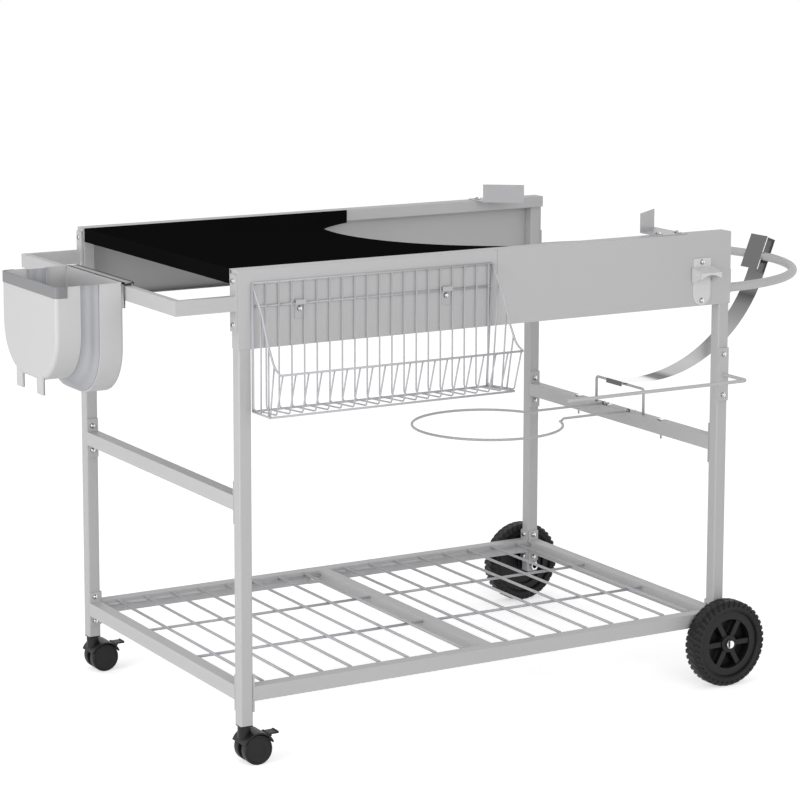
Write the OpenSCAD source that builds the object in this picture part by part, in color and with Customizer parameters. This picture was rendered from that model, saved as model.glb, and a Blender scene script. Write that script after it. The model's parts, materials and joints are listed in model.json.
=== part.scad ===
// Grill cart for a kettle grill: square-tube legs, folded sheet aprons, a black side table,
// a wire shelf, two large wheels and two casters, with a waste bin, basket, opener, ash ring,
// lid holder and paper-towel holder.
// X runs along the cart, the push handle is at +X and the front faces -Y. Z is up.
// The shapes are drawn about the middle of the frame, and place() moves them so that the
// origin is on the floor below the centre of the whole cart.

/* [Frame] */
// Length of the frame over the aprons
frame_l = 960; // [920:5:1000]
// Depth of the frame over the aprons
frame_d = 620; // [600:5:640]
// Height of the frame
frame_h = 805; // [790:5:840]
// Thickness of the folded sheet
sheet = 1; // [0.8:0.1:1.4]
// Height of an apron
apron_h = 126; // [110:1:136]
// Depth of an apron's top flange
flange_w = 29; // [27:0.5:32]
// Height of the lip on the inner edge of the flange
lip_h = 20; // [14:1:30]
// Depth of an apron's end, folded round the leg
return_w = 22; // [18:0.5:23]
// Gap between the left and right half of an apron
seam_gap = 0.4; // [0.2:0.1:1]
// Side of a leg's square tube
leg_w = 22; // [20:0.5:24]
// Wall of a leg
leg_wall = 1.2; // [1:0.1:1.8]
// Corner radius of a leg
leg_r = 2.5; // [1.5:0.1:4]
// Height of a leg's lower end over the floor
leg_foot_z = 65; // [64:0.5:68]

/* [Rails] */
// Width of a rail or crossbar
rail_w = 22; // [18:0.5:22]
// Height of a rail or crossbar
rail_h = 24; // [20:0.5:28]
// Wall of a rail or crossbar
rail_wall = 1.2; // [1:0.1:1.8]
// Height of a rail's end plate
end_plate_h = 70; // [60:1:80]
// Thickness of the end plates
end_plate_t = 3; // [2:0.5:4]
// Distance of the two bolts of an end plate
end_bolt_gap = 44; // [38:1:46]
// Height of the shelf rails' end plates
shelf_plate_h = 60; // [56:1:62]
// Height of the crossbars' centre
crossbar_z = 428.8; // [400:0.2:460]
// Height of the shelf rails' centre
shelf_z = 116.6; // [115:0.2:130]
// Length of the middle beam's flange
beam_flange_l = 66; // [56:1:80]
// Diameter of the shelf wire
grid_wire = 5; // [4:0.5:6]
// Number of cross wires in one shelf grid
grid_count = 8; // [6:1:10]
// Distance of a grid's outer long wire from the frame's outside
grid_inset = 32; // [28:1:40]
// Pitch of the cross wires
grid_pitch = 54.5; // [46:0.5:56]

/* [Table and kettle] */
// Distance of the kettle's axis from the middle of the frame
kettle_x = 188; // [180:1:195]
// Radius of the table's round cut
cut_r = 314; // [306:1:320]
// Height of the table's lip
table_lip_h = 24; // [18:1:30]
// Radius at which the kettle brackets stand
bracket_r = 286; // [280:1:292]
// Direction of the kettle brackets from the kettle's axis
bracket_angle = 53.5; // [51:0.5:56]
// Width of a kettle bracket
bracket_w = 76; // [66:1:84]
// Height of a kettle bracket
bracket_h = 34; // [28:1:42]
// Thickness of the kettle brackets
bracket_t = 2; // [1.5:0.5:3]
// Length of a kettle bracket's slots
bracket_slot_l = 26; // [22:1:30]
// Distance of the two screws of a kettle bracket
bracket_screw_gap = 40; // [34:1:42]

/* [Handles] */
// Reach of the side handle from the middle of the frame
side_reach = 588; // [570:1:600]
// Width of the side handle
side_w = 616; // [600:1:618]
// Height of the side handle's centre
side_z = 752.6; // [745:0.2:757]
// Height of the side handle's tube
side_tube_h = 24; // [20:0.5:26]
// Width of the side handle's tube
side_tube_w = 12; // [10:0.5:14]
// Height of the side handle's end plate
side_plate_h = 92; // [86:1:94]
// Height of the push handle's centre
push_z = 704.4; // [700:0.2:712]
// Diameter of the push handle's tube
push_d = 16; // [14:0.5:18]
// Height of the push handle's end plate
push_plate_h = 42; // [38:1:54]

/* [Wheels and casters] */
// Radius of a large wheel
wheel_r = 76.8; // [74:0.2:78.6]
// Width of a large wheel
wheel_w = 35; // [30:0.5:40]
// Radius of the rim inside the tyre
rim_r = 58; // [54:0.5:62]
// Radius of the opening inside the rim
rim_inner_r = 47; // [43:0.5:50]
// Number of spokes
spoke_count = 6; // [5:1:8]
// Number of shoulder knobs round a tyre
knob_count = 54; // [40:1:60]
// Depth of the grooves between the shoulder knobs
knob_depth = 3; // [2:0.2:5]
// Width of a knobbed shoulder
knob_w = 8; // [5:0.5:11]
// Diameter of a wheel's axle
axle_d = 10; // [8:0.5:11]
// Diameter of a wheel's hub
hub_d = 27; // [24:0.5:32]
// Length of the spacer between a leg and its wheel
spacer_l = 4; // [3:0.5:6]
// Radius of a caster's discs
caster_r = 25; // [24:0.2:26]
// Width of one caster disc
disc_w = 16; // [13:0.5:18]
// Width of a caster's body between its discs
fork_w = 10; // [8:0.5:12]
// Distance of a caster's axle from its swivel axis
caster_trail = 16; // [12:0.5:20]
// Diameter of a caster's stem
stem_d = 11; // [9:0.5:12]
// Length of a caster's stem inside the socket
stem_l = 20; // [16:1:22]
// Length of the brake lever
brake_l = 17; // [12:0.5:22]

/* [Waste bin] */
// Width of the bin
bin_w = 222; // [200:2:240]
// Offset of the bin from the middle of the side handle
bin_y = -11; // [-30:1:30]
// Height of the bin's top over the floor
bin_top_z = 770.3; // [768:0.1:776]
// Height of the bin's shells
bin_h = 170; // [150:1:190]
// Radius of the bin's lower corners
bin_corner_r = 82; // [60:1:100]
// Depth of the rear shell
rear_depth = 41; // [36:0.5:46]
// Depth of the folding membrane when open
membrane_l = 33; // [30:0.5:40]
// Depth of the front shell
front_depth = 44; // [38:0.5:48]
// Wall of the shells
bin_wall = 2; // [1.6:0.1:3]
// Height of the dark rim
bin_rim_h = 18; // [14:0.5:24]
// Depth of the dark rim along the sides
bin_rim_l = 21; // [16:0.5:28]

/* [Basket] */
// Length of the basket
basket_l = 448; // [400:2:452]
// Middle of the basket from the middle of the frame
basket_x = -235; // [-240:1:-226]
// Height of the basket's top wire
basket_top_z = 783.5; // [776:0.5:790]
// Height of the basket's back
basket_h = 204.5; // [190:0.5:220]
// Depth of the basket's bottom
basket_bottom_d = 64; // [56:1:72]
// Depth of the basket at its rim
basket_rim_d = 97; // [88:1:110]
// Height of the front rim over the bottom
basket_front_h = 70; // [60:1:80]
// Diameter of the basket's frame wire
basket_wire = 4.5; // [4:0.5:6]
// Diameter of the basket's thin wires
basket_thin = 3; // [2.5:0.5:4]
// Number of thin wires
basket_count = 20; // [16:1:24]

/* [Fittings] */
// Diameter of the ash ring's wire
ash_wire = 4.6; // [4:0.2:6]
// Radius of the ash ring
ash_r = 135.7; // [130:0.1:140]
// Distance of the ash ring's axis from the middle of the frame
ash_x = 179; // [170:1:188]
// Distance of an ash ring leg from the middle of the crossbar
ash_leg_y = 42; // [36:1:50]
// Diameter of the lid rest's wire
rest_wire = 5; // [4:0.2:6]
// Width of the lid rest
rest_w = 150; // [120:1:170]
// Width of the lid holder strip
strip_w = 50; // [40:1:56]
// Thickness of the lid holder strip
strip_t = 1.8; // [1.5:0.1:2.5]
// Radius of the lid holder strip's bow
strip_r = 288; // [280:1:292]
// Lean of the lid holder's hook
strip_lean = 21.8; // [19:0.2:24]
// Diameter of the towel rod
towel_rod_d = 6; // [5:0.5:8]
// Length of the towel rod
towel_rod_l = 370; // [320:5:400]
// Distance of the towel rod from the leg
towel_reach = 69; // [60:1:80]
// Height of the towel rod over the floor
towel_z = 553.8; // [520:0.2:600]
// Height of the towel holder's plate
towel_plate_h = 94; // [86:1:104]
// Width of the bottle opener
opener_w = 38; // [34:1:44]
// Height of the bottle opener
opener_h = 82; // [76:1:90]
// Reach of the bottle opener's hood
opener_reach = 27; // [22:1:32]
// Distance of the bottle opener from the middle of the frame
opener_x = 418; // [400:1:424]
// Distance of the crossbar pins from the middle of the crossbar
pin_y = 132; // [110:1:160]

/* [Bolts] */
// Diameter of a bolt's domed head
head_d = 10; // [8:0.5:11]
// Height of a bolt's head
head_h = 4; // [3:0.2:5]
// Diameter of a bolt's shank
shank_d = 6; // [5:0.2:7]
// Length of a bolt's shank below its head
shank_l = 9; // [8:0.5:10]

/* [Hidden] */
$fn = 48;

// Clearances: still pieces, moving pieces, a shaft in its bore, and the overrun of every cut
gap = 0.15;
run_gap = 0.3;
fit_gap = 0.05;
over = 2;

// Half sizes and levels that many pieces share
half_l = frame_l / 2;
half_d = frame_d / 2;
leg_x = half_l - sheet - leg_w / 2;
leg_y = half_d - sheet - leg_w / 2;
leg_in_x = leg_x - leg_w / 2;
leg_in_y = leg_y - leg_w / 2;
apron_z = frame_h - apron_h;
table_y = half_d - flange_w;
bar_top = crossbar_z + rail_h / 2;
shelf_top = shelf_z + rail_h / 2;
nut_t = 4;
plate_w = leg_w - 2 * leg_r / 5;

silver = [0.74, 0.74, 0.75];
chrome = [0.86, 0.87, 0.88];
black = [0.1, 0.1, 0.11];
wire_grey = [0.7, 0.7, 0.71];
bin_grey = [0.85, 0.86, 0.87];
membrane_grey = [0.66, 0.67, 0.68];
rim_grey = [0.58, 0.59, 0.6];

// Extremes of the cart, for the origin
tube_x = half_l + end_plate_t + leg_y;
lean_n = [cos(strip_lean), -sin(strip_lean)];
lean_t = [sin(strip_lean), cos(strip_lean)];
hook_gap = push_d / 2 + run_gap;
hook_up = 2.3 * push_d;
hook_down = 1.8 * push_d;
hook_tail = 2.1 * push_d;
rim_t = bin_wall / 2;
bin_back_x = -side_reach - run_gap;
hanger_t = 3;
rear_x = bin_back_x - hanger_t;
membrane_x = rear_x - rear_depth;
front_x = membrane_x - membrane_l;
bin_out_x = front_x - front_depth;
wheel_y = half_d - sheet + spacer_l + wheel_w / 2;
axle_head_h = 5;
far_right = tube_x + lean_n[0] * (hook_gap + strip_t) + lean_t[0] * hook_up;
far_left = bin_out_x - rim_t;
basket_back_y = -half_d - gap - basket_wire / 2;
far_front = -half_d - gap - basket_rim_d - basket_wire / 2;
far_back = wheel_y + wheel_w / 2 + run_gap + axle_head_h;

module place() {
    translate([-(far_left + far_right) / 2, -(far_front + far_back) / 2, 0]) children();
}

// A point list of a rectangle with round corners, four steps to a corner
function rounded(w, h, r) = [
    for (c = [[1, 1, 0], [-1, 1, 90], [-1, -1, 180], [1, -1, 270]], a = [0:30:90])
        [c[0] * (w / 2 - r) + r * cos(c[2] + a), c[1] * (h / 2 - r) + r * sin(c[2] + a)]];

// Turns +Z towards one of the six directions
function facing(d) =
    d == "+x" ? [0, 90, 0] : d == "-x" ? [0, -90, 0] :
    d == "+y" ? [-90, 0, 0] : d == "-y" ? [90, 0, 0] :
    d == "-z" ? [180, 0, 0] : [0, 0, 0];

// The front (-1) or back (1) and left (-1) or right (1) copy of a shape drawn at back right
module quarter(sx, sy) {
    mirror([sx < 0 ? 1 : 0, 0, 0]) mirror([0, sy < 0 ? 1 : 0, 0]) children();
}

// A box between two corners
module span(a, b) {
    translate(a) cube(b - a);
}

// A straight wire between two points, with polygon sides
module straight_wire(a, b, d) {
    v = b - a;
    translate(a)
        rotate([0, acos(v[2] / norm(v)), atan2(v[1], v[0])])
            cylinder(d = d, h = norm(v), $fn = 12);
}

// A bent wire through a list of points, with eight sides round its full diameter
module bent_wire(points, d) {
    for (i = [1:len(points) - 1])
        hull() {
            translate(points[i - 1]) sphere(d = d / cos(22.5), $fn = 8);
            translate(points[i]) sphere(d = d / cos(22.5), $fn = 8);
        }
}

// Domed bolt whose head sits at a point and looks in a direction
module bolt(at, d) {
    dome_r = (head_d * head_d / 4 + head_h * head_h) / (2 * head_h);
    translate(at) rotate(facing(d)) {
        intersection() {
            cylinder(d = head_d, h = head_h);
            translate([0, 0, head_h - dome_r]) sphere(r = dome_r);
        }
        translate([0, 0, -shank_l]) cylinder(d = shank_d, h = shank_l + head_h / 4);
    }
}

// Holes for the bolts of a list
module bolt_holes(sites) {
    for (s = sites)
        translate(s[0]) rotate(facing(s[1]))
            translate([0, 0, -shank_l - over]) cylinder(d = shank_d + 2 * gap, h = shank_l + 2 * over);
}

// Places of the bolts. Each entry is a seat point and the direction of the head.
side_sites = [for (sy = [-1, 1], k = [-1, 1])
    [[-half_l - end_plate_t, sy * leg_y, side_z + k * (side_plate_h - leg_w) / 2], "-x"]];
push_low_z = push_z - push_d / 2;
push_sites = [for (sy = [-1, 1])
    [[half_l + end_plate_t, sy * leg_y, push_low_z + push_plate_h - head_d * 1.2], "+x"]];
function end_sites(x, z) = [for (sy = [-1, 1], k = [-1, 1])
    [[x, sy * (leg_in_y - end_plate_t), z + k * end_bolt_gap / 2], sy < 0 ? "+y" : "-y"]];
function rail_sites(y, z) = [for (sx = [-1, 1], k = [-1, 1])
    [[sx * (leg_in_x - end_plate_t), y, z + k * end_bolt_gap / 2], sx < 0 ? "+x" : "-x"]];
crossbar_sites = concat(end_sites(-leg_x, crossbar_z), end_sites(leg_x, crossbar_z));
shelf_side_sites = concat(end_sites(-leg_x, shelf_z), end_sites(leg_x, shelf_z));
shelf_long_sites = concat(rail_sites(-leg_y, shelf_z), rail_sites(leg_y, shelf_z));
beam_end_y = leg_y - rail_w / 2;
beam_sites = [for (sy = [-1, 1], sx = [-1, 1])
    [[sx * (beam_flange_l - rail_w / 2) / 2, sy * (beam_end_y - end_plate_t), shelf_z],
        sy < 0 ? "+y" : "-y"]];
towel_sites = [for (k = [-1, 1])
    [[leg_x, -half_d + sheet - end_plate_t, towel_z + k * (towel_plate_h - leg_w) / 2], "-y"]];
basket_bolt_z = basket_top_z - basket_h * 0.225;
basket_pitch = (basket_l - 4 * basket_wire) / (basket_count - 1);
clip_t = 1.5;
basket_clip_x = [for (k = [-1, 1]) basket_x + k * 6 * basket_pitch];
basket_sites = [for (x = basket_clip_x) [[x, -half_d - clip_t, basket_bolt_z], "-y"]];
opener_t = 2;
opener_z = apron_z + 2;
opener_sites = [for (z = [opener_z + head_d * 0.75, opener_z + opener_h - head_d * 0.75])
    [[opener_x, -half_d - opener_t, z], "-y"]];
ash_clip_w = 12;
ash_bolt_y = ash_leg_y - ash_wire / 2 - gap - clip_t - head_d / 2 - run_gap;
ash_sites = [for (sy = [-1, 1]) [[leg_x - rail_w / 8, sy * ash_bolt_y, bar_top + clip_t], "+z"]];
leg_sites = concat(side_sites, push_sites, crossbar_sites, shelf_side_sites, shelf_long_sites,
    towel_sites);
frame_sites = concat(side_sites, push_sites, crossbar_sites);
shelf_sites = concat(shelf_side_sites, shelf_long_sites, beam_sites);
fitting_sites = concat(towel_sites, basket_sites, opener_sites, ash_sites);

// Sites of a list that lie near a leg
function near(sites, x, y) = [for (s = sites)
    if (norm([s[0][0] - x, s[0][1] - y]) < leg_w + 2 * end_plate_t) s];

module leg(sx, sy) {
    color(silver)
        difference() {
            translate([sx * leg_x, sy * leg_y, leg_foot_z])
                linear_extrude(frame_h - sheet - leg_foot_z)
                    difference() {
                        polygon(rounded(leg_w, leg_w, leg_r));
                        polygon(rounded(leg_w - 2 * leg_wall, leg_w - 2 * leg_wall, leg_r - leg_wall));
                    }
            bolt_holes(near(leg_sites, sx * leg_x, sy * leg_y));
            if (sx > 0)
                axle_hole(sy);
        }
}

module axle_hole(sy) {
    translate([leg_x, sy * leg_y, wheel_r]) rotate([90, 0, 0])
        cylinder(d = axle_d + 2 * gap, h = leg_w + 2 * over, center = true);
}

// Folded sheet with a top flange, an inner lip, an end round the leg and a bottom flange
module apron(sx, sy) {
    bottom_w = flange_w / 2;
    color(silver)
        difference() {
            quarter(sx, sy) union() {
                span([seam_gap / 2, half_d - sheet, apron_z], [half_l, half_d, frame_h]);
                span([seam_gap / 2, half_d - flange_w, frame_h - sheet], [half_l, half_d, frame_h]);
                span([seam_gap / 2, half_d - flange_w, frame_h - lip_h],
                    [half_l, half_d - flange_w + sheet, frame_h]);
                span([half_l - sheet, half_d - return_w, apron_z], [half_l, half_d, frame_h]);
                span([seam_gap / 2, half_d - bottom_w, apron_z],
                    [leg_in_x - run_gap, half_d, apron_z + sheet]);
            }
            bolt_holes(near(concat(side_sites, push_sites), sx * leg_x, sy * leg_y));
            if (sy < 0)
                bolt_holes(sx < 0 ? basket_sites : opener_sites);
            if (sx > 0)
                for (p = bracket_screw_places(sy))
                    translate([p[0], p[1], frame_h - sheet - over])
                        cylinder(d = bracket_screw_d + 2 * gap, h = sheet + 2 * over);
        }
}

// Plates that join the two halves of an apron on the inside
module apron_splices() {
    splice_l = 3 * rail_w;
    splice_t = 2;
    color(silver)
        for (sy = [-1, 1])
            quarter(1, sy)
                span([-splice_l / 2, half_d - sheet - splice_t, apron_z + 3 * sheet],
                    [splice_l / 2, half_d - sheet, frame_h - 3 * sheet]);
}

module table_top() {
    color(black)
        difference() {
            span([-half_l, -table_y, frame_h - table_lip_h], [kettle_x, table_y, frame_h]);
            translate([kettle_x, 0, frame_h - table_lip_h - over])
                cylinder(r = cut_r, h = table_lip_h + 2 * over, $fn = 180);
            difference() {
                span([-half_l + sheet, -table_y + sheet, frame_h - table_lip_h - over],
                    [kettle_x, table_y - sheet, frame_h - sheet]);
                translate([kettle_x, 0, frame_h - table_lip_h - 2 * over])
                    cylinder(r = cut_r + sheet, h = table_lip_h + 3 * over, $fn = 180);
            }
        }
}

module side_handle() {
    arm_y = side_w / 2;
    color(silver)
        difference() {
            union() {
                for (sy = [-1, 1]) {
                    span([-half_l - end_plate_t, sy * leg_y - plate_w / 2, side_z - side_plate_h / 2],
                        [-half_l, sy * leg_y + plate_w / 2, side_z + side_plate_h / 2]);
                    quarter(-1, sy)
                        span([half_l + end_plate_t / 2, arm_y - side_tube_w, side_z - side_tube_h / 2],
                            [side_reach, arm_y, side_z + side_tube_h / 2]);
                }
                span([-side_reach, -arm_y, side_z - side_tube_h / 2],
                    [-side_reach + side_tube_w, arm_y, side_z + side_tube_h / 2]);
            }
            for (sy = [-1, 1])
                quarter(-1, sy)
                    span([half_l - over, arm_y - side_tube_w + rail_wall, side_z - side_tube_h / 2 + rail_wall],
                        [side_reach - rail_wall, arm_y - rail_wall, side_z + side_tube_h / 2 - rail_wall]);
            span([-side_reach + rail_wall, -arm_y + rail_wall, side_z - side_tube_h / 2 + rail_wall],
                [-side_reach + side_tube_w - rail_wall, arm_y - rail_wall,
                    side_z + side_tube_h / 2 - rail_wall]);
            bolt_holes(side_sites);
        }
}

module push_handle() {
    bore_d = push_d - 2 * rail_wall;
    color(silver)
        difference() {
            union() {
                for (sy = [-1, 1])
                    span([half_l, sy * leg_y - plate_w / 2, push_low_z],
                        [half_l + end_plate_t, sy * leg_y + plate_w / 2, push_low_z + push_plate_h]);
                translate([half_l + end_plate_t, 0, push_z])
                    rotate_extrude(angle = 180, start = -90, $fn = 96)
                        translate([leg_y, 0]) circle(d = push_d);
            }
            translate([half_l + end_plate_t, 0, push_z])
                rotate_extrude(angle = 180, start = -90, $fn = 96)
                    translate([leg_y, 0]) circle(d = bore_d);
            for (sy = [-1, 1])
                translate([half_l - over, sy * leg_y, push_z]) rotate([0, 90, 0])
                    cylinder(d = bore_d, h = end_plate_t + over);
            bolt_holes(push_sites);
        }
}

// Tube along Y between two legs, with an end plate at each end
module side_rail(x, z, plate_h, sites) {
    color(silver)
        difference() {
            union() {
                span([x - rail_w / 2, -leg_in_y + end_plate_t / 2, z - rail_h / 2],
                    [x + rail_w / 2, leg_in_y - end_plate_t / 2, z + rail_h / 2]);
                for (sy = [-1, 1])
                    translate([x, sy * (leg_in_y - end_plate_t / 2), z])
                        cube([plate_w, end_plate_t, plate_h], center = true);
            }
            translate([x, 0, z])
                cube([rail_w - 2 * rail_wall, 2 * leg_in_y + over, rail_h - 2 * rail_wall], center = true);
            bolt_holes(sites);
        }
}

module long_rail(y) {
    color(silver)
        difference() {
            union() {
                span([-leg_in_x + end_plate_t / 2, y - rail_w / 2, shelf_z - rail_h / 2],
                    [leg_in_x - end_plate_t / 2, y + rail_w / 2, shelf_z + rail_h / 2]);
                for (sx = [-1, 1])
                    translate([sx * (leg_in_x - end_plate_t / 2), y, shelf_z])
                        cube([end_plate_t, plate_w, shelf_plate_h], center = true);
            }
            translate([0, y, shelf_z])
                cube([2 * leg_in_x + over, rail_w - 2 * rail_wall, rail_h - 2 * rail_wall], center = true);
            bolt_holes(concat(shelf_long_sites, beam_sites));
        }
}

module shelf_beam() {
    color(silver)
        difference() {
            union() {
                translate([0, 0, shelf_z]) cube([rail_w, 2 * beam_end_y - end_plate_t, rail_h], center = true);
                for (sy = [-1, 1])
                    translate([0, sy * (beam_end_y - end_plate_t / 2), shelf_z])
                        cube([beam_flange_l, end_plate_t, rail_h], center = true);
            }
            translate([0, 0, shelf_z])
                cube([rail_w - 2 * rail_wall, 2 * beam_end_y + over, rail_h - 2 * rail_wall], center = true);
            bolt_holes(beam_sites);
        }
}

// Four long wires welded to the rail and the beam, with cross wires on top
module shelf_grid(sx) {
    long_z = shelf_top - grid_wire * 1.3;
    outer_y = half_d - grid_inset;
    in_x = rail_w / 2;
    out_x = leg_x - rail_w / 2;
    mid_x = (in_x + out_x) / 2;
    color(wire_grey)
        quarter(sx, 1) {
            for (k = [-1, -1 / 3, 1 / 3, 1])
                straight_wire([in_x, k * outer_y, long_z], [out_x, k * outer_y, long_z], grid_wire);
            for (i = [0:grid_count - 1]) {
                x = mid_x + (i - (grid_count - 1) / 2) * grid_pitch;
                straight_wire([x, -outer_y - grid_wire / 2, long_z + grid_wire * 0.86],
                    [x, outer_y + grid_wire / 2, long_z + grid_wire * 0.86], grid_wire);
            }
        }
}

// Square flange under a leg with a block inside the tube
module leg_insert(block_h) {
    block_w = leg_w - 2 * leg_wall - 2 * gap;
    flange_t = leg_foot_z - insert_z;
    translate([0, 0, insert_z]) linear_extrude(flange_t) polygon(rounded(leg_w, leg_w, leg_r));
    translate([0, 0, insert_z + flange_t / 2])
        linear_extrude(flange_t / 2 + block_h) polygon(rounded(block_w, block_w, leg_r - leg_wall));
}

insert_z = leg_foot_z - 2;

module foot_plugs() {
    color(black)
        for (sy = [-1, 1])
            translate([leg_x, sy * leg_y, 0]) leg_insert(wheel_r - leg_foot_z - axle_d / 2 - 1.5);
}

module caster_sockets() {
    color(black)
        for (sy = [-1, 1])
            difference() {
                translate([-leg_x, sy * leg_y, 0]) leg_insert(stem_l + 3 * sheet);
                translate([-leg_x, sy * leg_y, insert_z - over])
                    cylinder(d = stem_d + 2 * fit_gap, h = stem_l + over + run_gap + (leg_foot_z - insert_z));
            }
}

module wheel_axles() {
    inner = leg_in_y - nut_t;
    outer = wheel_y + wheel_w / 2 + run_gap;
    head_r = axle_d * 0.76;
    color(chrome)
        for (sy = [-1, 1])
            quarter(1, sy)
                translate([leg_x, 0, wheel_r]) rotate([-90, 0, 0]) {
                    translate([0, 0, inner]) cylinder(d = axle_d, h = outer - inner + over);
                    translate([0, 0, inner]) cylinder(d = axle_d * 1.5, h = nut_t, $fn = 6);
                    translate([0, 0, outer]) cylinder(r = head_r, h = axle_head_h - 2);
                    translate([0, 0, outer + axle_head_h - 2]) cylinder(r1 = head_r, r2 = head_r - 2, h = 2);
                }
}

module wheel_spacers() {
    color(black)
        for (sy = [-1, 1])
            quarter(1, sy)
                translate([leg_x, half_d - sheet, wheel_r]) rotate([-90, 0, 0])
                    difference() {
                        cylinder(d = axle_d * 1.9, h = spacer_l - run_gap);
                        translate([0, 0, -over]) cylinder(d = axle_d + 2 * gap, h = spacer_l + 2 * over);
                    }
}

// Puts a shape drawn about Z, from the inner face outwards, at a wheel's place
module at_wheel(sy) {
    quarter(1, sy)
        translate([leg_x, wheel_y - wheel_w / 2, wheel_r]) rotate([-90, 0, 0]) children();
}

knob_drop = 0.4;

// Outline of a knobbed shoulder: knobs and grooves of equal width round a circle
function knob_outline() = [for (i = [0:knob_count - 1], c = [[0, 1], [0.55, 1], [0.6, 0], [0.95, 0]])
    (wheel_r - knob_drop - knob_depth * (1 - c[1])) * [cos((i + c[0]) * 360 / knob_count),
        sin((i + c[0]) * 360 / knob_count)]];

module wheel_tyre(sy) {
    dish_r = wheel_r - knob_depth - 3;
    color(black)
        at_wheel(sy)
            difference() {
                union() {
                    for (z = [0, wheel_w - knob_w])
                        translate([0, 0, z]) linear_extrude(knob_w) polygon(knob_outline());
                    translate([0, 0, knob_w]) cylinder(r = wheel_r, h = wheel_w - 2 * knob_w, $fn = 120);
                }
                translate([0, 0, -over]) cylinder(r = rim_r, h = wheel_w + 2 * over, $fn = 96);
                for (z = [-over, wheel_w - knob_w / 4])
                    translate([0, 0, z]) cylinder(r = dish_r, h = knob_w / 4 + over, $fn = 96);
            }
}

module wheel_hub(sy) {
    ring_w = wheel_w - knob_w;
    color(black)
        at_wheel(sy)
            difference() {
                union() {
                    translate([0, 0, knob_w / 2]) difference() {
                        cylinder(r = rim_r - gap, h = ring_w, $fn = 96);
                        translate([0, 0, -over]) cylinder(r = rim_inner_r, h = ring_w + 2 * over, $fn = 96);
                    }
                    cylinder(d = hub_d, h = wheel_w);
                    for (i = [0:spoke_count - 1])
                        rotate(i * 360 / spoke_count)
                            translate([hub_d / 4, -hub_d / 6, wheel_w / 2])
                                cube([rim_inner_r + 1 - hub_d / 4, hub_d / 3, wheel_w / 3]);
                    translate([0, 0, wheel_w / 4])
                        cylinder(r = rim_inner_r + 1, h = wheel_w / 12, $fn = 96);
                }
                translate([0, 0, -over])
                    cylinder(d = axle_d + 2 * fit_gap, h = wheel_w + 2 * over);
            }
}

// Puts a caster piece, drawn with the swivel axis on Z, below its leg
module at_caster(sy) {
    translate([-leg_x, sy * leg_y, 0]) children();
}

caster_hood_r = caster_r + 1.3;
caster_hood_t = 2.7;
caster_pin_d = 6;
hinge_angle = 38;
hinge_r = caster_hood_r + caster_hood_t + 2.4;
hinge_x = caster_trail + hinge_r * cos(hinge_angle);
hinge_z = caster_r + hinge_r * sin(hinge_angle);
hinge_pin_d = 2.4;
lever_w = 20;
lever_t = 2.6;

module caster_body(sy) {
    hood_w = 2 * disc_w + fork_w + 2;
    ear_t = 3;
    color(black)
        at_caster(sy)
            difference() {
                union() {
                    difference() {
                        union() {
                            translate([0, 0, caster_r + caster_hood_r * 0.7])
                                cylinder(d = stem_d * 2, h = insert_z - run_gap - caster_r - caster_hood_r * 0.7);
                            translate([caster_trail, 0, caster_r]) rotate([90, 0, 0])
                                rotate_extrude(angle = 136, start = 22, $fn = 96)
                                    translate([caster_hood_r - over, -hood_w / 2])
                                        square([caster_hood_t + over, hood_w]);
                            for (k = [-1, 1])
                                translate([hinge_x, k * (lever_w / 2 + run_gap + ear_t / 2), hinge_z])
                                    rotate([90, -hinge_angle, 0]) {
                                        cylinder(d = hinge_pin_d * 2, h = ear_t, center = true);
                                        translate([-hinge_pin_d * 2, 0, 0])
                                            cube([hinge_pin_d * 4, hinge_pin_d * 2, ear_t], center = true);
                                    }
                        }
                        translate([caster_trail, 0, caster_r]) rotate([90, 0, 0])
                            cylinder(r = caster_hood_r, h = hood_w + 2 * over, center = true, $fn = 96);
                    }
                    translate([caster_trail, 0, caster_r]) rotate([90, 0, 0])
                        rotate_extrude(angle = 136, start = 22, $fn = 96)
                            translate([1, -fork_w / 2]) square([caster_hood_r, fork_w]);
                    translate([caster_trail, 0, caster_r]) rotate([90, 0, 0])
                        cylinder(d = caster_pin_d * 2.4, h = fork_w, center = true);
                    translate([0, 0, insert_z - run_gap - 1])
                        cylinder(d = stem_d, h = stem_l + 1);
                    translate([hinge_x, 0, hinge_z]) rotate([90, 0, 0])
                        cylinder(d = hinge_pin_d, h = lever_w + 2 * run_gap + ear_t, center = true);
                }
                translate([caster_trail, 0, caster_r]) rotate([90, 0, 0])
                    cylinder(d = caster_pin_d + 2 * fit_gap, h = hood_w, center = true);
            }
}

module caster_discs(sy) {
    inner_y = fork_w / 2 + 1;
    color(black)
        at_caster(sy)
            translate([caster_trail, 0, caster_r]) rotate([90, 0, 0]) {
                cylinder(d = caster_pin_d, h = 2 * inner_y + 2, center = true);
                for (k = [0, 1])
                    mirror([0, 0, k])
                        rotate_extrude($fn = 96)
                            polygon([[0, inner_y], [caster_r - 1, inner_y], [caster_r, inner_y + 1],
                                [caster_r, inner_y + disc_w - 3], [caster_r - 2, inner_y + disc_w - 1],
                                [caster_r * 0.72, inner_y + disc_w - 1], [caster_r * 0.66, inner_y + disc_w - 3],
                                [caster_r * 0.3, inner_y + disc_w - 3], [caster_r * 0.26, inner_y + disc_w - 1],
                                [0, inner_y + disc_w - 1]]);
            }
}

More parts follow.
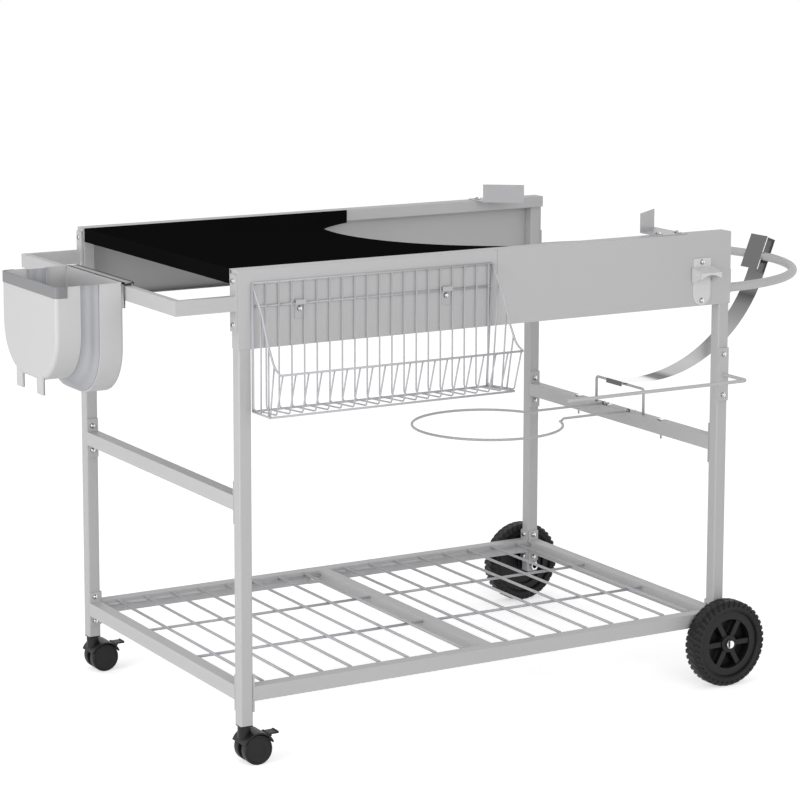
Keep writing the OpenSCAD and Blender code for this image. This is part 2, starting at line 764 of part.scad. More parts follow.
module caster_brake(sy) {
    barrel_d = hinge_pin_d * 2;
    color(black)
        at_caster(sy)
            translate([hinge_x, 0, hinge_z])
                difference() {
                    union() {
                        rotate([90, 0, 0]) cylinder(d = barrel_d, h = lever_w, center = true);
                        span([0, -lever_w / 2, barrel_d / 2 - lever_t], [brake_l, lever_w / 2, barrel_d / 2]);
                        span([brake_l - lever_t, -lever_w / 2, barrel_d / 2 - lever_t],
                            [brake_l, lever_w / 2, barrel_d / 2 + 1.2]);
                    }
                    rotate([90, 0, 0])
                        cylinder(d = hinge_pin_d + 2 * fit_gap, h = lever_w + over, center = true);
                }
}

// Outline of the bin seen from the side table's end, drawn in by an inset
function bin_outline(inset, top) = let (w = bin_w / 2 - inset, r = bin_corner_r - inset,
        low = bin_top_z - bin_h + inset)
    concat([[w, top], [-w, top]],
        [for (a = [180:10:270]) [-w + r + r * cos(a), low + r + r * sin(a)]],
        [for (a = [270:10:360]) [w - r + r * cos(a), low + r + r * sin(a)]]);

// A slab of the bin's outline between two places along X
module bin_slab(x0, x1, inset, top) {
    translate([x0, bin_y, 0]) rotate([90, 0, 90]) linear_extrude(x1 - x0) polygon(bin_outline(inset, top));
}

edge_w = 5;

module bin_rear_shell() {
    hook_in = -side_reach + side_tube_w + run_gap;
    bar_top_z = side_z + side_tube_h / 2 + run_gap;
    hook_w = bin_w + 4;
    color(bin_grey)
        difference() {
            union() {
                bin_slab(membrane_x, rear_x, 0, bin_top_z);
                span([rear_x - 1, bin_y - hook_w / 2, side_z - side_tube_h],
                    [bin_back_x, bin_y + hook_w / 2, bar_top_z + hanger_t]);
                span([rear_x - 1, bin_y - hook_w / 2, bar_top_z],
                    [hook_in + hanger_t, bin_y + hook_w / 2, bar_top_z + hanger_t]);
                span([hook_in, bin_y - hook_w / 2, side_z],
                    [hook_in + hanger_t, bin_y + hook_w / 2, bar_top_z + hanger_t]);
            }
            bin_slab(membrane_x + bin_wall, rear_x - bin_wall, bin_wall, bin_top_z + 3 * over);
            bin_slab(membrane_x - over, membrane_x + bin_wall + over, edge_w, bin_top_z + 3 * over);
        }
}

module bin_membrane() {
    color(membrane_grey)
        difference() {
            bin_slab(front_x + run_gap, membrane_x, edge_w - 2.6, bin_top_z - 1);
            bin_slab(front_x - over, membrane_x + over, edge_w - 1.2, bin_top_z + over);
        }
}

module bin_front_shell() {
    foot_w = 24;
    foot_h = 13;
    foot_t = 5;
    color(bin_grey)
        difference() {
            union() {
                bin_slab(bin_out_x, front_x, 0, bin_top_z);
                for (k = [-1, 1])
                    translate([bin_out_x, bin_y + k * bin_w * 0.19 - foot_w / 2, bin_top_z - bin_h - foot_h])
                        cube([foot_t, foot_w, 2 * foot_h]);
            }
            bin_slab(bin_out_x + bin_wall + foot_t, front_x - bin_wall, bin_wall, bin_top_z + 3 * over);
            bin_slab(bin_out_x + bin_wall, front_x - bin_wall, bin_wall + foot_t / 2, bin_top_z + 3 * over);
            bin_slab(front_x - bin_wall - over, front_x + over, edge_w, bin_top_z + 3 * over);
        }
}

module bin_rim() {
    low = bin_top_z - bin_rim_h;
    color(rim_grey)
        difference() {
            intersection() {
                bin_slab(bin_out_x - rim_t, bin_out_x + bin_rim_l, -rim_t, bin_top_z + rim_t);
                span([bin_out_x - over, bin_y - bin_w, low], [bin_out_x + bin_rim_l + over, bin_y + bin_w, frame_h]);
            }
            bin_slab(bin_out_x, front_x, 0, bin_top_z);
            bin_slab(bin_out_x + bin_wall, front_x, bin_wall, frame_h + over);
        }
}

// Side view of the basket as shares of its depths and heights, from the rim to the top wire
basket_low_z = basket_top_z - basket_h;
basket_curve_shares = [[1, 1], [0.79, 1.13], [0.57, 1.62], [0.35, 2.28], [0.12, 2.7], [0, 2.92]];

function basket_y(depth) = basket_back_y - depth;

module basket() {
    bottom_y = basket_y(basket_bottom_d);
    rim_y = basket_y(basket_rim_d - basket_wire / 2);
    rim_z = basket_low_z + basket_front_h;
    left = basket_x - basket_l / 2;
    right = basket_x + basket_l / 2;
    thin_in = (basket_wire + basket_thin) / 2 - 0.4;
    first = left + 2 * basket_wire;
    color(wire_grey) {
        for (p = [[basket_back_y, basket_top_z], [basket_back_y, basket_low_z],
                [bottom_y, basket_low_z], [rim_y, rim_z],
                [basket_back_y, basket_bolt_z + basket_wire * 2.4]])
            bent_wire([[left, p[0], p[1]], [right, p[0], p[1]]], basket_wire);
        for (x = [left, right]) {
            bent_wire([[x, basket_back_y, basket_top_z], [x, basket_back_y, basket_low_z],
                [x, bottom_y, basket_low_z], [x, rim_y, rim_z]], basket_wire);
            bent_wire([for (s = basket_curve_shares)
                [x, basket_back_y + s[0] * (rim_y - basket_back_y), basket_low_z + s[1] * basket_front_h]],
                basket_wire);
        }
        for (i = [0:basket_count - 1])
            bent_wire([for (p = [[basket_back_y - thin_in, basket_top_z],
                    [basket_back_y - thin_in, basket_low_z + thin_in],
                    [bottom_y + thin_in, basket_low_z + thin_in],
                    [rim_y + thin_in, rim_z]])
                [first + i * basket_pitch, p[0], p[1]]], basket_thin);
    }
}

// Flat clips with a hump over the basket's middle wire
module basket_clips() {
    clip_w = basket_pitch - basket_thin - 1;
    wire_z = basket_bolt_z + basket_wire * 2.4;
    hump = basket_wire + 2 * gap;
    color(chrome)
        for (x = basket_clip_x)
            difference() {
                union() {
                    span([x - clip_w / 2, -half_d - clip_t, basket_bolt_z - head_d * 1.6],
                        [x + clip_w / 2, -half_d, wire_z + basket_wire]);
                    span([x - clip_w / 2, -half_d - hump - gap - clip_t, wire_z - hump / 2 - clip_t],
                        [x + clip_w / 2, -half_d, wire_z + hump / 2 + clip_t]);
                }
                span([x - clip_w, -half_d - hump - gap, wire_z - hump / 2],
                    [x + clip_w, -half_d + over, wire_z + hump / 2]);
                bolt_holes(basket_sites);
            }
}

// Stamped plate with a hood that bends out over a tooth
module bottle_opener() {
    hood_z = opener_z + opener_h * 0.52;
    face = half_d + opener_t;
    color(chrome)
        difference() {
            union() {
                span([opener_x - opener_w / 2, -face, opener_z],
                    [opener_x + opener_w / 2, -half_d, opener_z + opener_h]);
                translate([opener_x, 0, 0]) rotate([90, 0, -90])
                    linear_extrude(opener_w, center = true)
                        polygon([[half_d, hood_z + opener_reach * 0.5], [face, hood_z + opener_reach * 0.5],
                            [face + opener_reach * 0.6, hood_z + opener_reach * 0.2],
                            [face + opener_reach, hood_z - opener_reach * 0.2],
                            [face + opener_reach - opener_t, hood_z - opener_reach * 0.3],
                            [face + opener_reach * 0.5, hood_z + opener_t * 0.6],
                            [face, hood_z + opener_reach * 0.2], [half_d, hood_z + opener_reach * 0.2]]);
                span([opener_x - opener_w / 4, -face - opener_reach * 0.4, hood_z - opener_reach * 0.5],
                    [opener_x + opener_w / 4, -half_d, hood_z - opener_reach * 0.5 + opener_t]);
            }
            translate([opener_x, -face - opener_reach, hood_z - opener_reach])
                cylinder(r = opener_w * 0.3, h = 2 * opener_reach);
            bolt_holes(opener_sites);
        }
}

// A kettle bracket stands square to the kettle's radius on a base whose sides run along Y
bracket_screw_d = 5;
bracket_mid = [kettle_x + bracket_r * cos(bracket_angle), bracket_r * sin(bracket_angle)];
bracket_half = bracket_w / 2 * [sin(bracket_angle), cos(bracket_angle)];
bracket_edge_y = half_d - 2 * bracket_t;
bracket_screw_y = half_d - sheet - flange_w * 0.6;
function bracket_screw_places(sy) = [for (k = [-1, 1])
    [bracket_mid[0] + k * bracket_screw_gap / 2, sy * bracket_screw_y]];

module kettle_bracket(sy) {
    near = bracket_mid + [bracket_half[0], -bracket_half[1]];
    far = bracket_mid + [-bracket_half[0], bracket_half[1]];
    side = [0, bracket_t / sin(bracket_angle)];
    slot_w = bracket_screw_d + 2 * run_gap;
    color(chrome)
        translate([0, 0, frame_h]) mirror([0, sy < 0 ? 1 : 0, 0])
            difference() {
                union() {
                    linear_extrude(bracket_t)
                        polygon([near, [near[0], bracket_edge_y], [far[0], bracket_edge_y], far]);
                    linear_extrude(bracket_h) polygon([near, near + side, far + side, far]);
                }
                for (p = bracket_screw_places(1))
                    translate([p[0], p[1], -over]) {
                        for (e = [-1, 1])
                            translate([0, e * (bracket_slot_l - slot_w) / 2, 0])
                                cylinder(d = slot_w, h = bracket_t + 2 * over);
                        translate([-slot_w / 2, -(bracket_slot_l - slot_w) / 2, 0])
                            cube([slot_w, bracket_slot_l - slot_w, bracket_t + 2 * over]);
                    }
            }
}

module bracket_screws() {
    dome_r = (head_d * head_d / 4 + head_h * head_h) / (2 * head_h);
    color(chrome)
        for (sy = [-1, 1], p = bracket_screw_places(sy))
            translate([p[0], p[1], frame_h]) {
                translate([0, 0, bracket_t + gap]) intersection() {
                    cylinder(d = head_d, h = head_h);
                    translate([0, 0, head_h - dome_r]) sphere(r = dome_r);
                }
                translate([0, 0, -sheet - nut_t])
                    cylinder(d = bracket_screw_d, h = sheet + nut_t + bracket_t + gap + head_h / 4);
                translate([0, 0, -sheet - nut_t]) cylinder(d = head_d, h = nut_t, $fn = 6);
            }
}

// One wire: a leg on the crossbar, the ring, a step up, and the other leg
module ash_ring() {
    leg_z = bar_top + ash_wire / 2;
    ring_z = leg_z - ash_wire;
    open = asin(ash_leg_y / ash_r);
    join_x = ash_x + ash_r * cos(open);
    end_x = leg_x + rail_w / 4;
    color(wire_grey) {
        translate([ash_x, 0, ring_z])
            rotate_extrude(angle = 360 - 2 * open, start = open, $fn = 144)
                translate([ash_r, 0]) circle(d = ash_wire, $fn = 24);
        for (sy = [-1, 1]) {
            translate([join_x, sy * ash_leg_y, ring_z]) sphere(d = ash_wire * 1.02, $fn = 24);
            translate([join_x, sy * ash_leg_y, ring_z]) cylinder(d = ash_wire, h = ash_wire, $fn = 24);
            translate([join_x, sy * ash_leg_y, leg_z]) sphere(d = ash_wire * 1.02, $fn = 24);
            translate([join_x, sy * ash_leg_y, leg_z]) rotate([0, 90, 0])
                cylinder(d = ash_wire, h = end_x - join_x, $fn = 24);
        }
    }
}

// Clips that hold the ash ring's legs on the crossbar
module ash_clips() {
    hump = ash_wire + 2 * gap;
    x = ash_sites[0][0][0];
    color(chrome)
        for (sy = [-1, 1])
            quarter(1, sy)
                difference() {
                    union() {
                        span([x - ash_clip_w / 2, ash_bolt_y - head_d * 0.6, bar_top],
                            [x + ash_clip_w / 2, ash_leg_y, bar_top + clip_t]);
                        span([x - ash_clip_w / 2, ash_leg_y - hump / 2 - clip_t, bar_top],
                            [x + ash_clip_w / 2, ash_leg_y + hump / 2 + clip_t, bar_top + hump + clip_t]);
                    }
                    span([x - ash_clip_w, ash_leg_y - hump / 2, bar_top - over],
                        [x + ash_clip_w, ash_leg_y + hump / 2, bar_top + hump]);
                    translate([x, ash_bolt_y, bar_top - over])
                        cylinder(d = shank_d + 2 * gap, h = clip_t + 2 * over);
                }
}

// The strip's bow: its centre follows from the hook on the push handle
strip_centre = [tube_x, push_z] + lean_n * (hook_gap + strip_t / 2) - lean_t * hook_tail - lean_n * strip_r;
function strip_low_z(x) = strip_centre[1] - sqrt(pow(strip_r, 2) - pow(x - strip_centre[0], 2));
rest_z = strip_low_z(leg_x) - strip_t / 2 - run_gap - rest_wire / 2;

module lid_rest() {
    color(wire_grey) {
        for (sy = [-1, 1]) {
            translate([leg_x, sy * rest_w / 2, bar_top])
                cylinder(d = rest_wire, h = rest_z - bar_top, $fn = 24);
            translate([leg_x, sy * rest_w / 2, rest_z]) sphere(d = rest_wire * 1.02, $fn = 24);
        }
        translate([leg_x, -rest_w / 2, rest_z]) rotate([-90, 0, 0])
            cylinder(d = rest_wire, h = rest_w, $fn = 24);
    }
}

// Bowed flat strip with a hook over the push handle and a turned-down end, as one outline
module lid_strip() {
    tube = [tube_x, push_z];
    far_w = hook_gap + strip_t;
    tube_bow = leg_y - sqrt(leg_y * leg_y - strip_w * strip_w / 4);
    near_w = -hook_gap - tube_bow;
    low_a = -100.5;
    end_u = [cos(low_a), sin(low_a)];
    end_v = [sin(low_a), -cos(low_a)] * strip_t;
    lip = strip_r + 4.5 * strip_t;
    steps = 40;
    function bow(r, k) = let (a = low_a + (-strip_lean - low_a) * k / steps) strip_centre + r * [cos(a), sin(a)];
    color(chrome)
        rotate([90, 0, 0])
            linear_extrude(strip_w, center = true)
                polygon(concat(
                    [tube + lean_n * far_w + lean_t * hook_up,
                        tube + lean_n * (near_w - strip_t) + lean_t * hook_up,
                        tube + lean_n * (near_w - strip_t) - lean_t * hook_down,
                        tube + lean_n * near_w - lean_t * hook_down,
                        tube + lean_n * near_w + lean_t * (hook_up - strip_t),
                        tube + lean_n * hook_gap + lean_t * (hook_up - strip_t)],
                    [for (k = [steps:-1:0]) bow(strip_r - strip_t / 2, k)],
                    [bow(strip_r - strip_t / 2, 0) + end_v, strip_centre + end_u * lip + end_v,
                        strip_centre + end_u * lip],
                    [for (k = [0:steps]) bow(strip_r + strip_t / 2, k)]));
}

// Plate on the leg with a rod bent to the left
module towel_holder() {
    face_y = -half_d + sheet;
    rod_y = face_y - towel_reach;
    bend = 1.5 * towel_rod_d;
    color(silver)
        difference() {
            union() {
                span([leg_x - plate_w / 2, face_y - end_plate_t, towel_z - towel_plate_h / 2],
                    [leg_x + plate_w / 2, face_y, towel_z + towel_plate_h / 2]);
                translate([leg_x, face_y - end_plate_t / 2, towel_z]) rotate([90, 0, 0])
                    cylinder(d = towel_rod_d, h = towel_reach - bend - end_plate_t / 2, $fn = 24);
                translate([leg_x - bend, rod_y + bend, towel_z])
                    rotate_extrude(angle = 90, start = -90, $fn = 48)
                        translate([bend, 0]) circle(d = towel_rod_d, $fn = 24);
                translate([leg_x - bend, rod_y, towel_z]) rotate([0, -90, 0])
                    cylinder(d = towel_rod_d, h = towel_rod_l - bend, $fn = 24);
            }
            bolt_holes(towel_sites);
        }
}

// Pins through the crossbar: a washer plate on top and the tip below
pin_d = 5;
pin_tip = 10;

module crossbar_pins() {
    color(chrome)
        for (sy = [-1, 1])
            translate([leg_x, sy * pin_y, 0]) {
                translate([0, 0, crossbar_z - rail_h / 2 - pin_tip])
                    cylinder(d = pin_d, h = rail_h + pin_tip + 1, $fn = 24);
                translate([-rail_w / 4, -rail_w / 4, bar_top]) cube([rail_w / 2, rail_w / 2, 2]);
            }
}

module pin_holes() {
    for (sy = [-1, 1])
        translate([leg_x, sy * pin_y, crossbar_z - rail_h])
            cylinder(d = pin_d + 2 * gap, h = 2 * rail_h, $fn = 24);
}

module crossbar_right() {
    color(silver)
        difference() {
            side_rail(leg_x, crossbar_z, end_plate_h, crossbar_sites);
            bolt_holes(ash_sites);
            pin_holes();
        }
}

module bolts(sites) {
    color(chrome)
        for (s = sites)
            bolt(s[0], s[1]);
}

place() leg(-1, -1);  // leg_front_left
place() leg(-1, 1);  // leg_back_left
place() leg(1, -1);  // leg_front_right
place() leg(1, 1);  // leg_back_right
place() apron(-1, -1);  // apron_front_left
place() apron(1, -1);  // apron_front_right
place() apron(-1, 1);  // apron_back_left
place() apron(1, 1);  // apron_back_right
place() apron_splices();
place() table_top();
place() side_handle();
place() push_handle();
place() side_rail(-leg_x, crossbar_z, end_plate_h, crossbar_sites);  // crossbar_left
place() crossbar_right();
place() long_rail(-leg_y);  // shelf_rail_front
place() long_rail(leg_y);  // shelf_rail_back
place() side_rail(-leg_x, shelf_z, shelf_plate_h, shelf_side_sites);  // shelf_rail_left
place() side_rail(leg_x, shelf_z, shelf_plate_h, shelf_side_sites);  // shelf_rail_right
place() shelf_beam();
place() shelf_grid(-1);  // shelf_grid_left
place() shelf_grid(1);  // shelf_grid_right
place() foot_plugs();
place() caster_sockets();
place() wheel_axles();
place() wheel_spacers();
place() wheel_tyre(-1);  // wheel_front_tyre
place() wheel_hub(-1);  // wheel_front_hub
place() wheel_tyre(1);  // wheel_back_tyre
place() wheel_hub(1);  // wheel_back_hub
place() caster_body(-1);  // caster_front_body
place() caster_discs(-1);  // caster_front_discs
place() caster_brake(-1);  // caster_front_brake
place() caster_body(1);  // caster_back_body
place() caster_discs(1);  // caster_back_discs
place() caster_brake(1);  // caster_back_brake
place() bin_rear_shell();
place() bin_membrane();
place() bin_front_shell();
place() bin_rim();
place() basket();
place() basket_clips();
place() bottle_opener();
place() kettle_bracket(-1);  // kettle_bracket_front
place() kettle_bracket(1);  // kettle_bracket_back
place() ash_ring();
place() ash_clips();
place() lid_rest();
place() lid_strip();
place() towel_holder();
place() crossbar_pins();
place() bolts(frame_sites);  // frame_bolts
place() bolts(shelf_sites);  // shelf_bolts
place() bolts(fitting_sites);  // fitting_bolts
place() bracket_screws();
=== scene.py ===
# %% [markdown]
# The grill cart, dressed for a studio picture.
#
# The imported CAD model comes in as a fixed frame: every node has its real size and place, in
# metres, with +Z up and +X towards the push handle. This notebook gives each node its finish
# and builds finer pieces over the nodes that need smoother wires, rounder folds or softer
# plastic than a solid model has. A finer piece always stands where its node stands.

# %% Load the frame
import json
import math

import bmesh
import bpy
import numpy as np
from mathutils import Matrix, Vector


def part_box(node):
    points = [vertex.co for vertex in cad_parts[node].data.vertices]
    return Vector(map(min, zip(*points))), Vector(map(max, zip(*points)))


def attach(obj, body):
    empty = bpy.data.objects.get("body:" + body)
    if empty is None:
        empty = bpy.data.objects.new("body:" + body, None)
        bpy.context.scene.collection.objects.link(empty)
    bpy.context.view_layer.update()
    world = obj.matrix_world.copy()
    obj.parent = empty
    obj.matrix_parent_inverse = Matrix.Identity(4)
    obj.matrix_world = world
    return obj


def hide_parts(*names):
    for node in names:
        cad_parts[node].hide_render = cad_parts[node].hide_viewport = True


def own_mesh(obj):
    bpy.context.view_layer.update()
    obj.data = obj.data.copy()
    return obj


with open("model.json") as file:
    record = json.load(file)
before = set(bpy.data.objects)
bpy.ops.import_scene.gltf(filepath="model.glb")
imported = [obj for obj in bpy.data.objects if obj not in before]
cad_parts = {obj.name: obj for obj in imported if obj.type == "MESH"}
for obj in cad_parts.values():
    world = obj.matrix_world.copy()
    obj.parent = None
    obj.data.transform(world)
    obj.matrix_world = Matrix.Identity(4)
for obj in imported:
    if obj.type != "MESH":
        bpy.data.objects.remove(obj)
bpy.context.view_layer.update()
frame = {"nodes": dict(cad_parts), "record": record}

# %% [markdown]
# Sizes on a cart are easiest to say from the middle of its frame, in millimetres. The legs
# stand in the frame's corners, so the middle of the outermost legs gives the offset between
# that middle and the model's own origin.

# %% Millimetres from the middle of the frame
leg_low, leg_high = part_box("leg_front_left")[0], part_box("leg_back_right")[1]
MIDDLE = np.array([(leg_low[0] + leg_high[0]) / 2, (leg_low[1] + leg_high[1]) / 2, 0.0])


def metres(points):
    """Cart millimetres to model metres: divide by 1000, then add the frame's middle."""
    return np.asarray(points, float) / 1000 + MIDDLE


print("middle of the frame", MIDDLE)

# %% [markdown]
# The photograph was taken from the front left, from above the table and a long way off, with
# a level camera whose picture was cut from below the lens axis. Copying all of that cut with
# the lens shift would push the cart out of the picture in every other view, because they keep
# the shift. So this camera tilts down and keeps a small shift, and the legs, which stand
# upright in the photograph, lean here by up to about a degree. Place, turn, tilt and lens came
# from a least-squares fit, and the lens was then made slightly wider, to keep the bin and the
# push handle inside the picture.

# %% Camera
PICTURE, SENSOR = 800, 36
AXIS_X, AXIS_Y, FOCAL_PIXELS = 340.569, 280, 2710.864
cam_place = metres([-2384.341, -4047.666, 1420.403])
turn, nod, bank = 0.5095156, 0.1491650, -0.0012701
forward = np.array([math.sin(turn) * math.cos(nod), math.cos(turn) * math.cos(nod), -math.sin(nod)])
side = np.array([math.cos(turn), -math.sin(turn), 0.0])
up = np.cross(side, forward)
right_axis = side * math.cos(bank) + up * math.sin(bank)
up_axis = up * math.cos(bank) - side * math.sin(bank)
cam_data = bpy.data.cameras.new("studio camera")
cam = bpy.data.objects.new("studio camera", cam_data)
bpy.context.scene.collection.objects.link(cam)
turn_matrix = np.eye(4)
turn_matrix[:3, 0], turn_matrix[:3, 1], turn_matrix[:3, 2] = right_axis, up_axis, -forward
turn_matrix[:3, 3] = cam_place
cam.matrix_world = Matrix(turn_matrix.tolist())
cam_data.sensor_width = SENSOR
cam_data.lens = FOCAL_PIXELS * SENSOR / PICTURE
cam_data.shift_x = -(AXIS_X - PICTURE / 2) / PICTURE
cam_data.shift_y = (AXIS_Y - PICTURE / 2) / PICTURE
cam_data.clip_end = 50
bpy.context.scene.camera = cam
print("lens", round(cam_data.lens, 2), "mm")

# %% [markdown]
# The studio is a pale floor in a pale room. Soft boxes on the left and in front give the
# upright faces their light, and little comes from above, so the flanges on top stay darker
# than the aprons, as they do in the photograph. The camera sees the background as plain
# white, while the floor still takes the cart's shadow.

# %% Pale room
ROOM_LIGHT = 0.62
scene = bpy.context.scene
scene.view_settings.view_transform = "Standard"


def node_tree(owner):
    """Switches nodes on and empties the tree, so that each tree is built from nothing."""
    owner.use_nodes = True
    owner.node_tree.nodes.clear()
    return owner.node_tree


def seen_directly(tree):
    """A mask that is 1 where the camera, a mirror reflection or a clear surface looks."""
    rays = tree.nodes.new("ShaderNodeLightPath")
    first = tree.nodes.new("ShaderNodeMath")
    first.operation = "MAXIMUM"
    both = tree.nodes.new("ShaderNodeMath")
    both.operation = "MAXIMUM"
    tree.links.new(rays.outputs["Is Camera Ray"], first.inputs[0])
    tree.links.new(rays.outputs["Is Transmission Ray"], first.inputs[1])
    tree.links.new(first.outputs[0], both.inputs[0])
    tree.links.new(rays.outputs["Is Glossy Ray"], both.inputs[1])
    return both.outputs[0]


world = bpy.data.worlds.new("pale room")
scene.world = world
tree = node_tree(world)
room = tree.nodes.new("ShaderNodeBackground")
room.inputs["Color"].default_value = (1, 1, 1, 1)
room.inputs["Strength"].default_value = ROOM_LIGHT
white = tree.nodes.new("ShaderNodeBackground")
white.inputs["Strength"].default_value = 1.0
white.inputs["Color"].default_value = (1, 1, 1, 1)
mix = tree.nodes.new("ShaderNodeMixShader")
out = tree.nodes.new("ShaderNodeOutputWorld")
tree.links.new(seen_directly(tree), mix.inputs[0])
tree.links.new(room.outputs[0], mix.inputs[1])
tree.links.new(white.outputs[0], mix.inputs[2])
tree.links.new(mix.outputs[0], out.inputs[0])
print("room light", ROOM_LIGHT)

# %% [markdown]
# A large square lamp gives a soft edge to every shade. One stands beyond the bin and one in
# front, and the one beyond the bin is the stronger.

# %% Soft boxes


def soft_box(name, place, aim, size, power):
    """A square lamp at a place, turned so that it looks at the aim point."""
    data = bpy.data.lights.new(name, "AREA")
    data.shape, data.size, data.energy = "SQUARE", size, power
    lamp = bpy.data.objects.new(name, data)
    back = np.array(place, float) - np.array(aim, float)
    back /= np.linalg.norm(back)
    across = np.cross((0, 0, 1), back)
    across /= np.linalg.norm(across)
    turned = np.eye(4)
    turned[:3, 0], turned[:3, 1], turned[:3, 2], turned[:3, 3] = across, np.cross(back, across), back, place
    lamp.matrix_world = Matrix(turned.tolist())
    scene.collection.objects.link(lamp)
    return lamp


soft_box("left soft box", (-3.6, -0.8, 1.3), (0, 0, 0.5), 2.2, 60)
soft_box("front soft box", (-0.6, -3.6, 1.6), (0, 0, 0.5), 2.0, 38)
print(len(bpy.data.lights), "soft boxes")

# %% [markdown]
# The floor is a flat square that reaches far behind the cart. It takes the shadow as any pale
# floor does, and adds a plain glow that only the camera, reflections and clear surfaces see,
# which brings it near the white of the room.

# %% Floor
FLOOR_HALF, FLOOR_GLOW = 14.0, 0.5


def stage_floor(half):
    """A flat square, the only thing in the scene that isn't the cart."""
    mesh = bpy.data.meshes.new("floor")
    square = [(-half, -half, 0), (half, -half, 0), (half, half, 0), (-half, half, 0)]
    mesh.from_pydata(square, [], [(0, 1, 2, 3)])
    obj = bpy.data.objects.new("floor", mesh)
    scene.collection.objects.link(obj)
    return obj


floor = stage_floor(FLOOR_HALF)
floor_finish = bpy.data.materials.new("pale floor")
tree = node_tree(floor_finish)
paint = tree.nodes.new("ShaderNodeBsdfDiffuse")
paint.inputs["Color"].default_value = (0.86, 0.86, 0.86, 1)
glow = tree.nodes.new("ShaderNodeEmission")
glow_mask = tree.nodes.new("ShaderNodeMath")
glow_mask.operation = "MULTIPLY"
glow_mask.inputs[1].default_value = FLOOR_GLOW
both = tree.nodes.new("ShaderNodeAddShader")
out = tree.nodes.new("ShaderNodeOutputMaterial")
tree.links.new(seen_directly(tree), glow_mask.inputs[0])
tree.links.new(glow_mask.outputs[0], glow.inputs["Strength"])
tree.links.new(paint.outputs[0], both.inputs[0])
tree.links.new(glow.outputs[0], both.inputs[1])
tree.links.new(both.outputs[0], out.inputs[0])
floor.data.materials.append(floor_finish)
print("floor", 2 * FLOOR_HALF, "m square")

# %% [markdown]
# Every finish on the cart has two things in common: a fine texture that catches the light,
# and a slow change of tone, because no real coating is quite even. Both are made once, as
# shader node groups that read a position and give back plain values, and each material
# places them with its own scale and strength.

# %% Shared effects


def new_group(name, inputs, outputs):
    """An empty shader group with typed sockets, and its two end nodes."""
    group = bpy.data.node_groups.new(name, "ShaderNodeTree")
    for label, kind, value in inputs:
        socket = group.interface.new_socket(name=label, in_out="INPUT", socket_type=kind)
        if value is not None:
            socket.default_value = value
    for label, kind in outputs:
        group.interface.new_socket(name=label, in_out="OUTPUT", socket_type=kind)
    return group, group.nodes.new("NodeGroupInput"), group.nodes.new("NodeGroupOutput")


def noise_node(tree, detail):
    """A noise texture with so many finer layers."""
    node = tree.nodes.new("ShaderNodeTexNoise")
    node.inputs["Detail"].default_value = detail
    return node


grain, grain_in, grain_out = new_group(
    "fine grain", [("Vector", "NodeSocketVector", None), ("Scale", "NodeSocketFloat", 900.0)],
    [("Height", "NodeSocketFloat")])
bumps = noise_node(grain, 2)
grain.links.new(grain_in.outputs["Vector"], bumps.inputs["Vector"])
grain.links.new(grain_in.outputs["Scale"], bumps.inputs["Scale"])
grain.links.new(bumps.outputs["Fac"], grain_out.inputs["Height"])

drift, drift_in, drift_out = new_group(
    "slow drift", [("Vector", "NodeSocketVector", None), ("Scale", "NodeSocketFloat", 6.0),
                   ("Low", "NodeSocketFloat", 0.4), ("High", "NodeSocketFloat", 0.5),
                   ("Colour", "NodeSocketColor", (0.5, 0.5, 0.5, 1)), ("Amount", "NodeSocketFloat", 0.06)],
    [("Value", "NodeSocketFloat"), ("Colour", "NodeSocketColor")])
clouds = noise_node(drift, 3)
spread = drift.nodes.new("ShaderNodeMapRange")
shade = drift.nodes.new("ShaderNodeMath")
shade.operation = "MULTIPLY_ADD"
tint = drift.nodes.new("ShaderNodeVectorMath")
tint.operation = "SCALE"
centre = drift.nodes.new("ShaderNodeMath")
centre.operation = "SUBTRACT"
centre.inputs[1].default_value = 0.5
drift.links.new(drift_in.outputs["Vector"], clouds.inputs["Vector"])
drift.links.new(drift_in.outputs["Scale"], clouds.inputs["Scale"])
drift.links.new(clouds.outputs["Fac"], spread.inputs["Value"])
drift.links.new(drift_in.outputs["Low"], spread.inputs["To Min"])
drift.links.new(drift_in.outputs["High"], spread.inputs["To Max"])
drift.links.new(spread.outputs["Result"], drift_out.inputs["Value"])
drift.links.new(clouds.outputs["Fac"], centre.inputs[0])
drift.links.new(centre.outputs[0], shade.inputs[0])
drift.links.new(drift_in.outputs["Amount"], shade.inputs[1])
shade.inputs[2].default_value = 1.0
drift.links.new(drift_in.outputs["Colour"], tint.inputs[0])
drift.links.new(shade.outputs[0], tint.inputs["Scale"])
drift.links.new(tint.outputs[0], drift_out.inputs["Colour"])
print("groups:", grain.name, "and", drift.name)

# %% [markdown]
# Polished steel shows the room: a flat face is as light or dark as what it faces. A studio has
# dark cards and bright boxes beside the product, so the third group paints such a reflection
# into the colour: the direction that a surface faces along the cart becomes a row of light and
# dark bands. On bright steel this painted reflection takes the place of the slow change of tone.
# It is painted in, and not seen in the steel, so it stays where it is when the lamps change.

# %% Painted room reflection


def srgb(level):
    """Display level 0 to 255 to linear light, by the sRGB curve."""
    c = np.asarray(level, float) / 255
    return np.where(c <= 0.04045, c / 12.92, ((c + 0.055) / 1.055) ** 2.4)


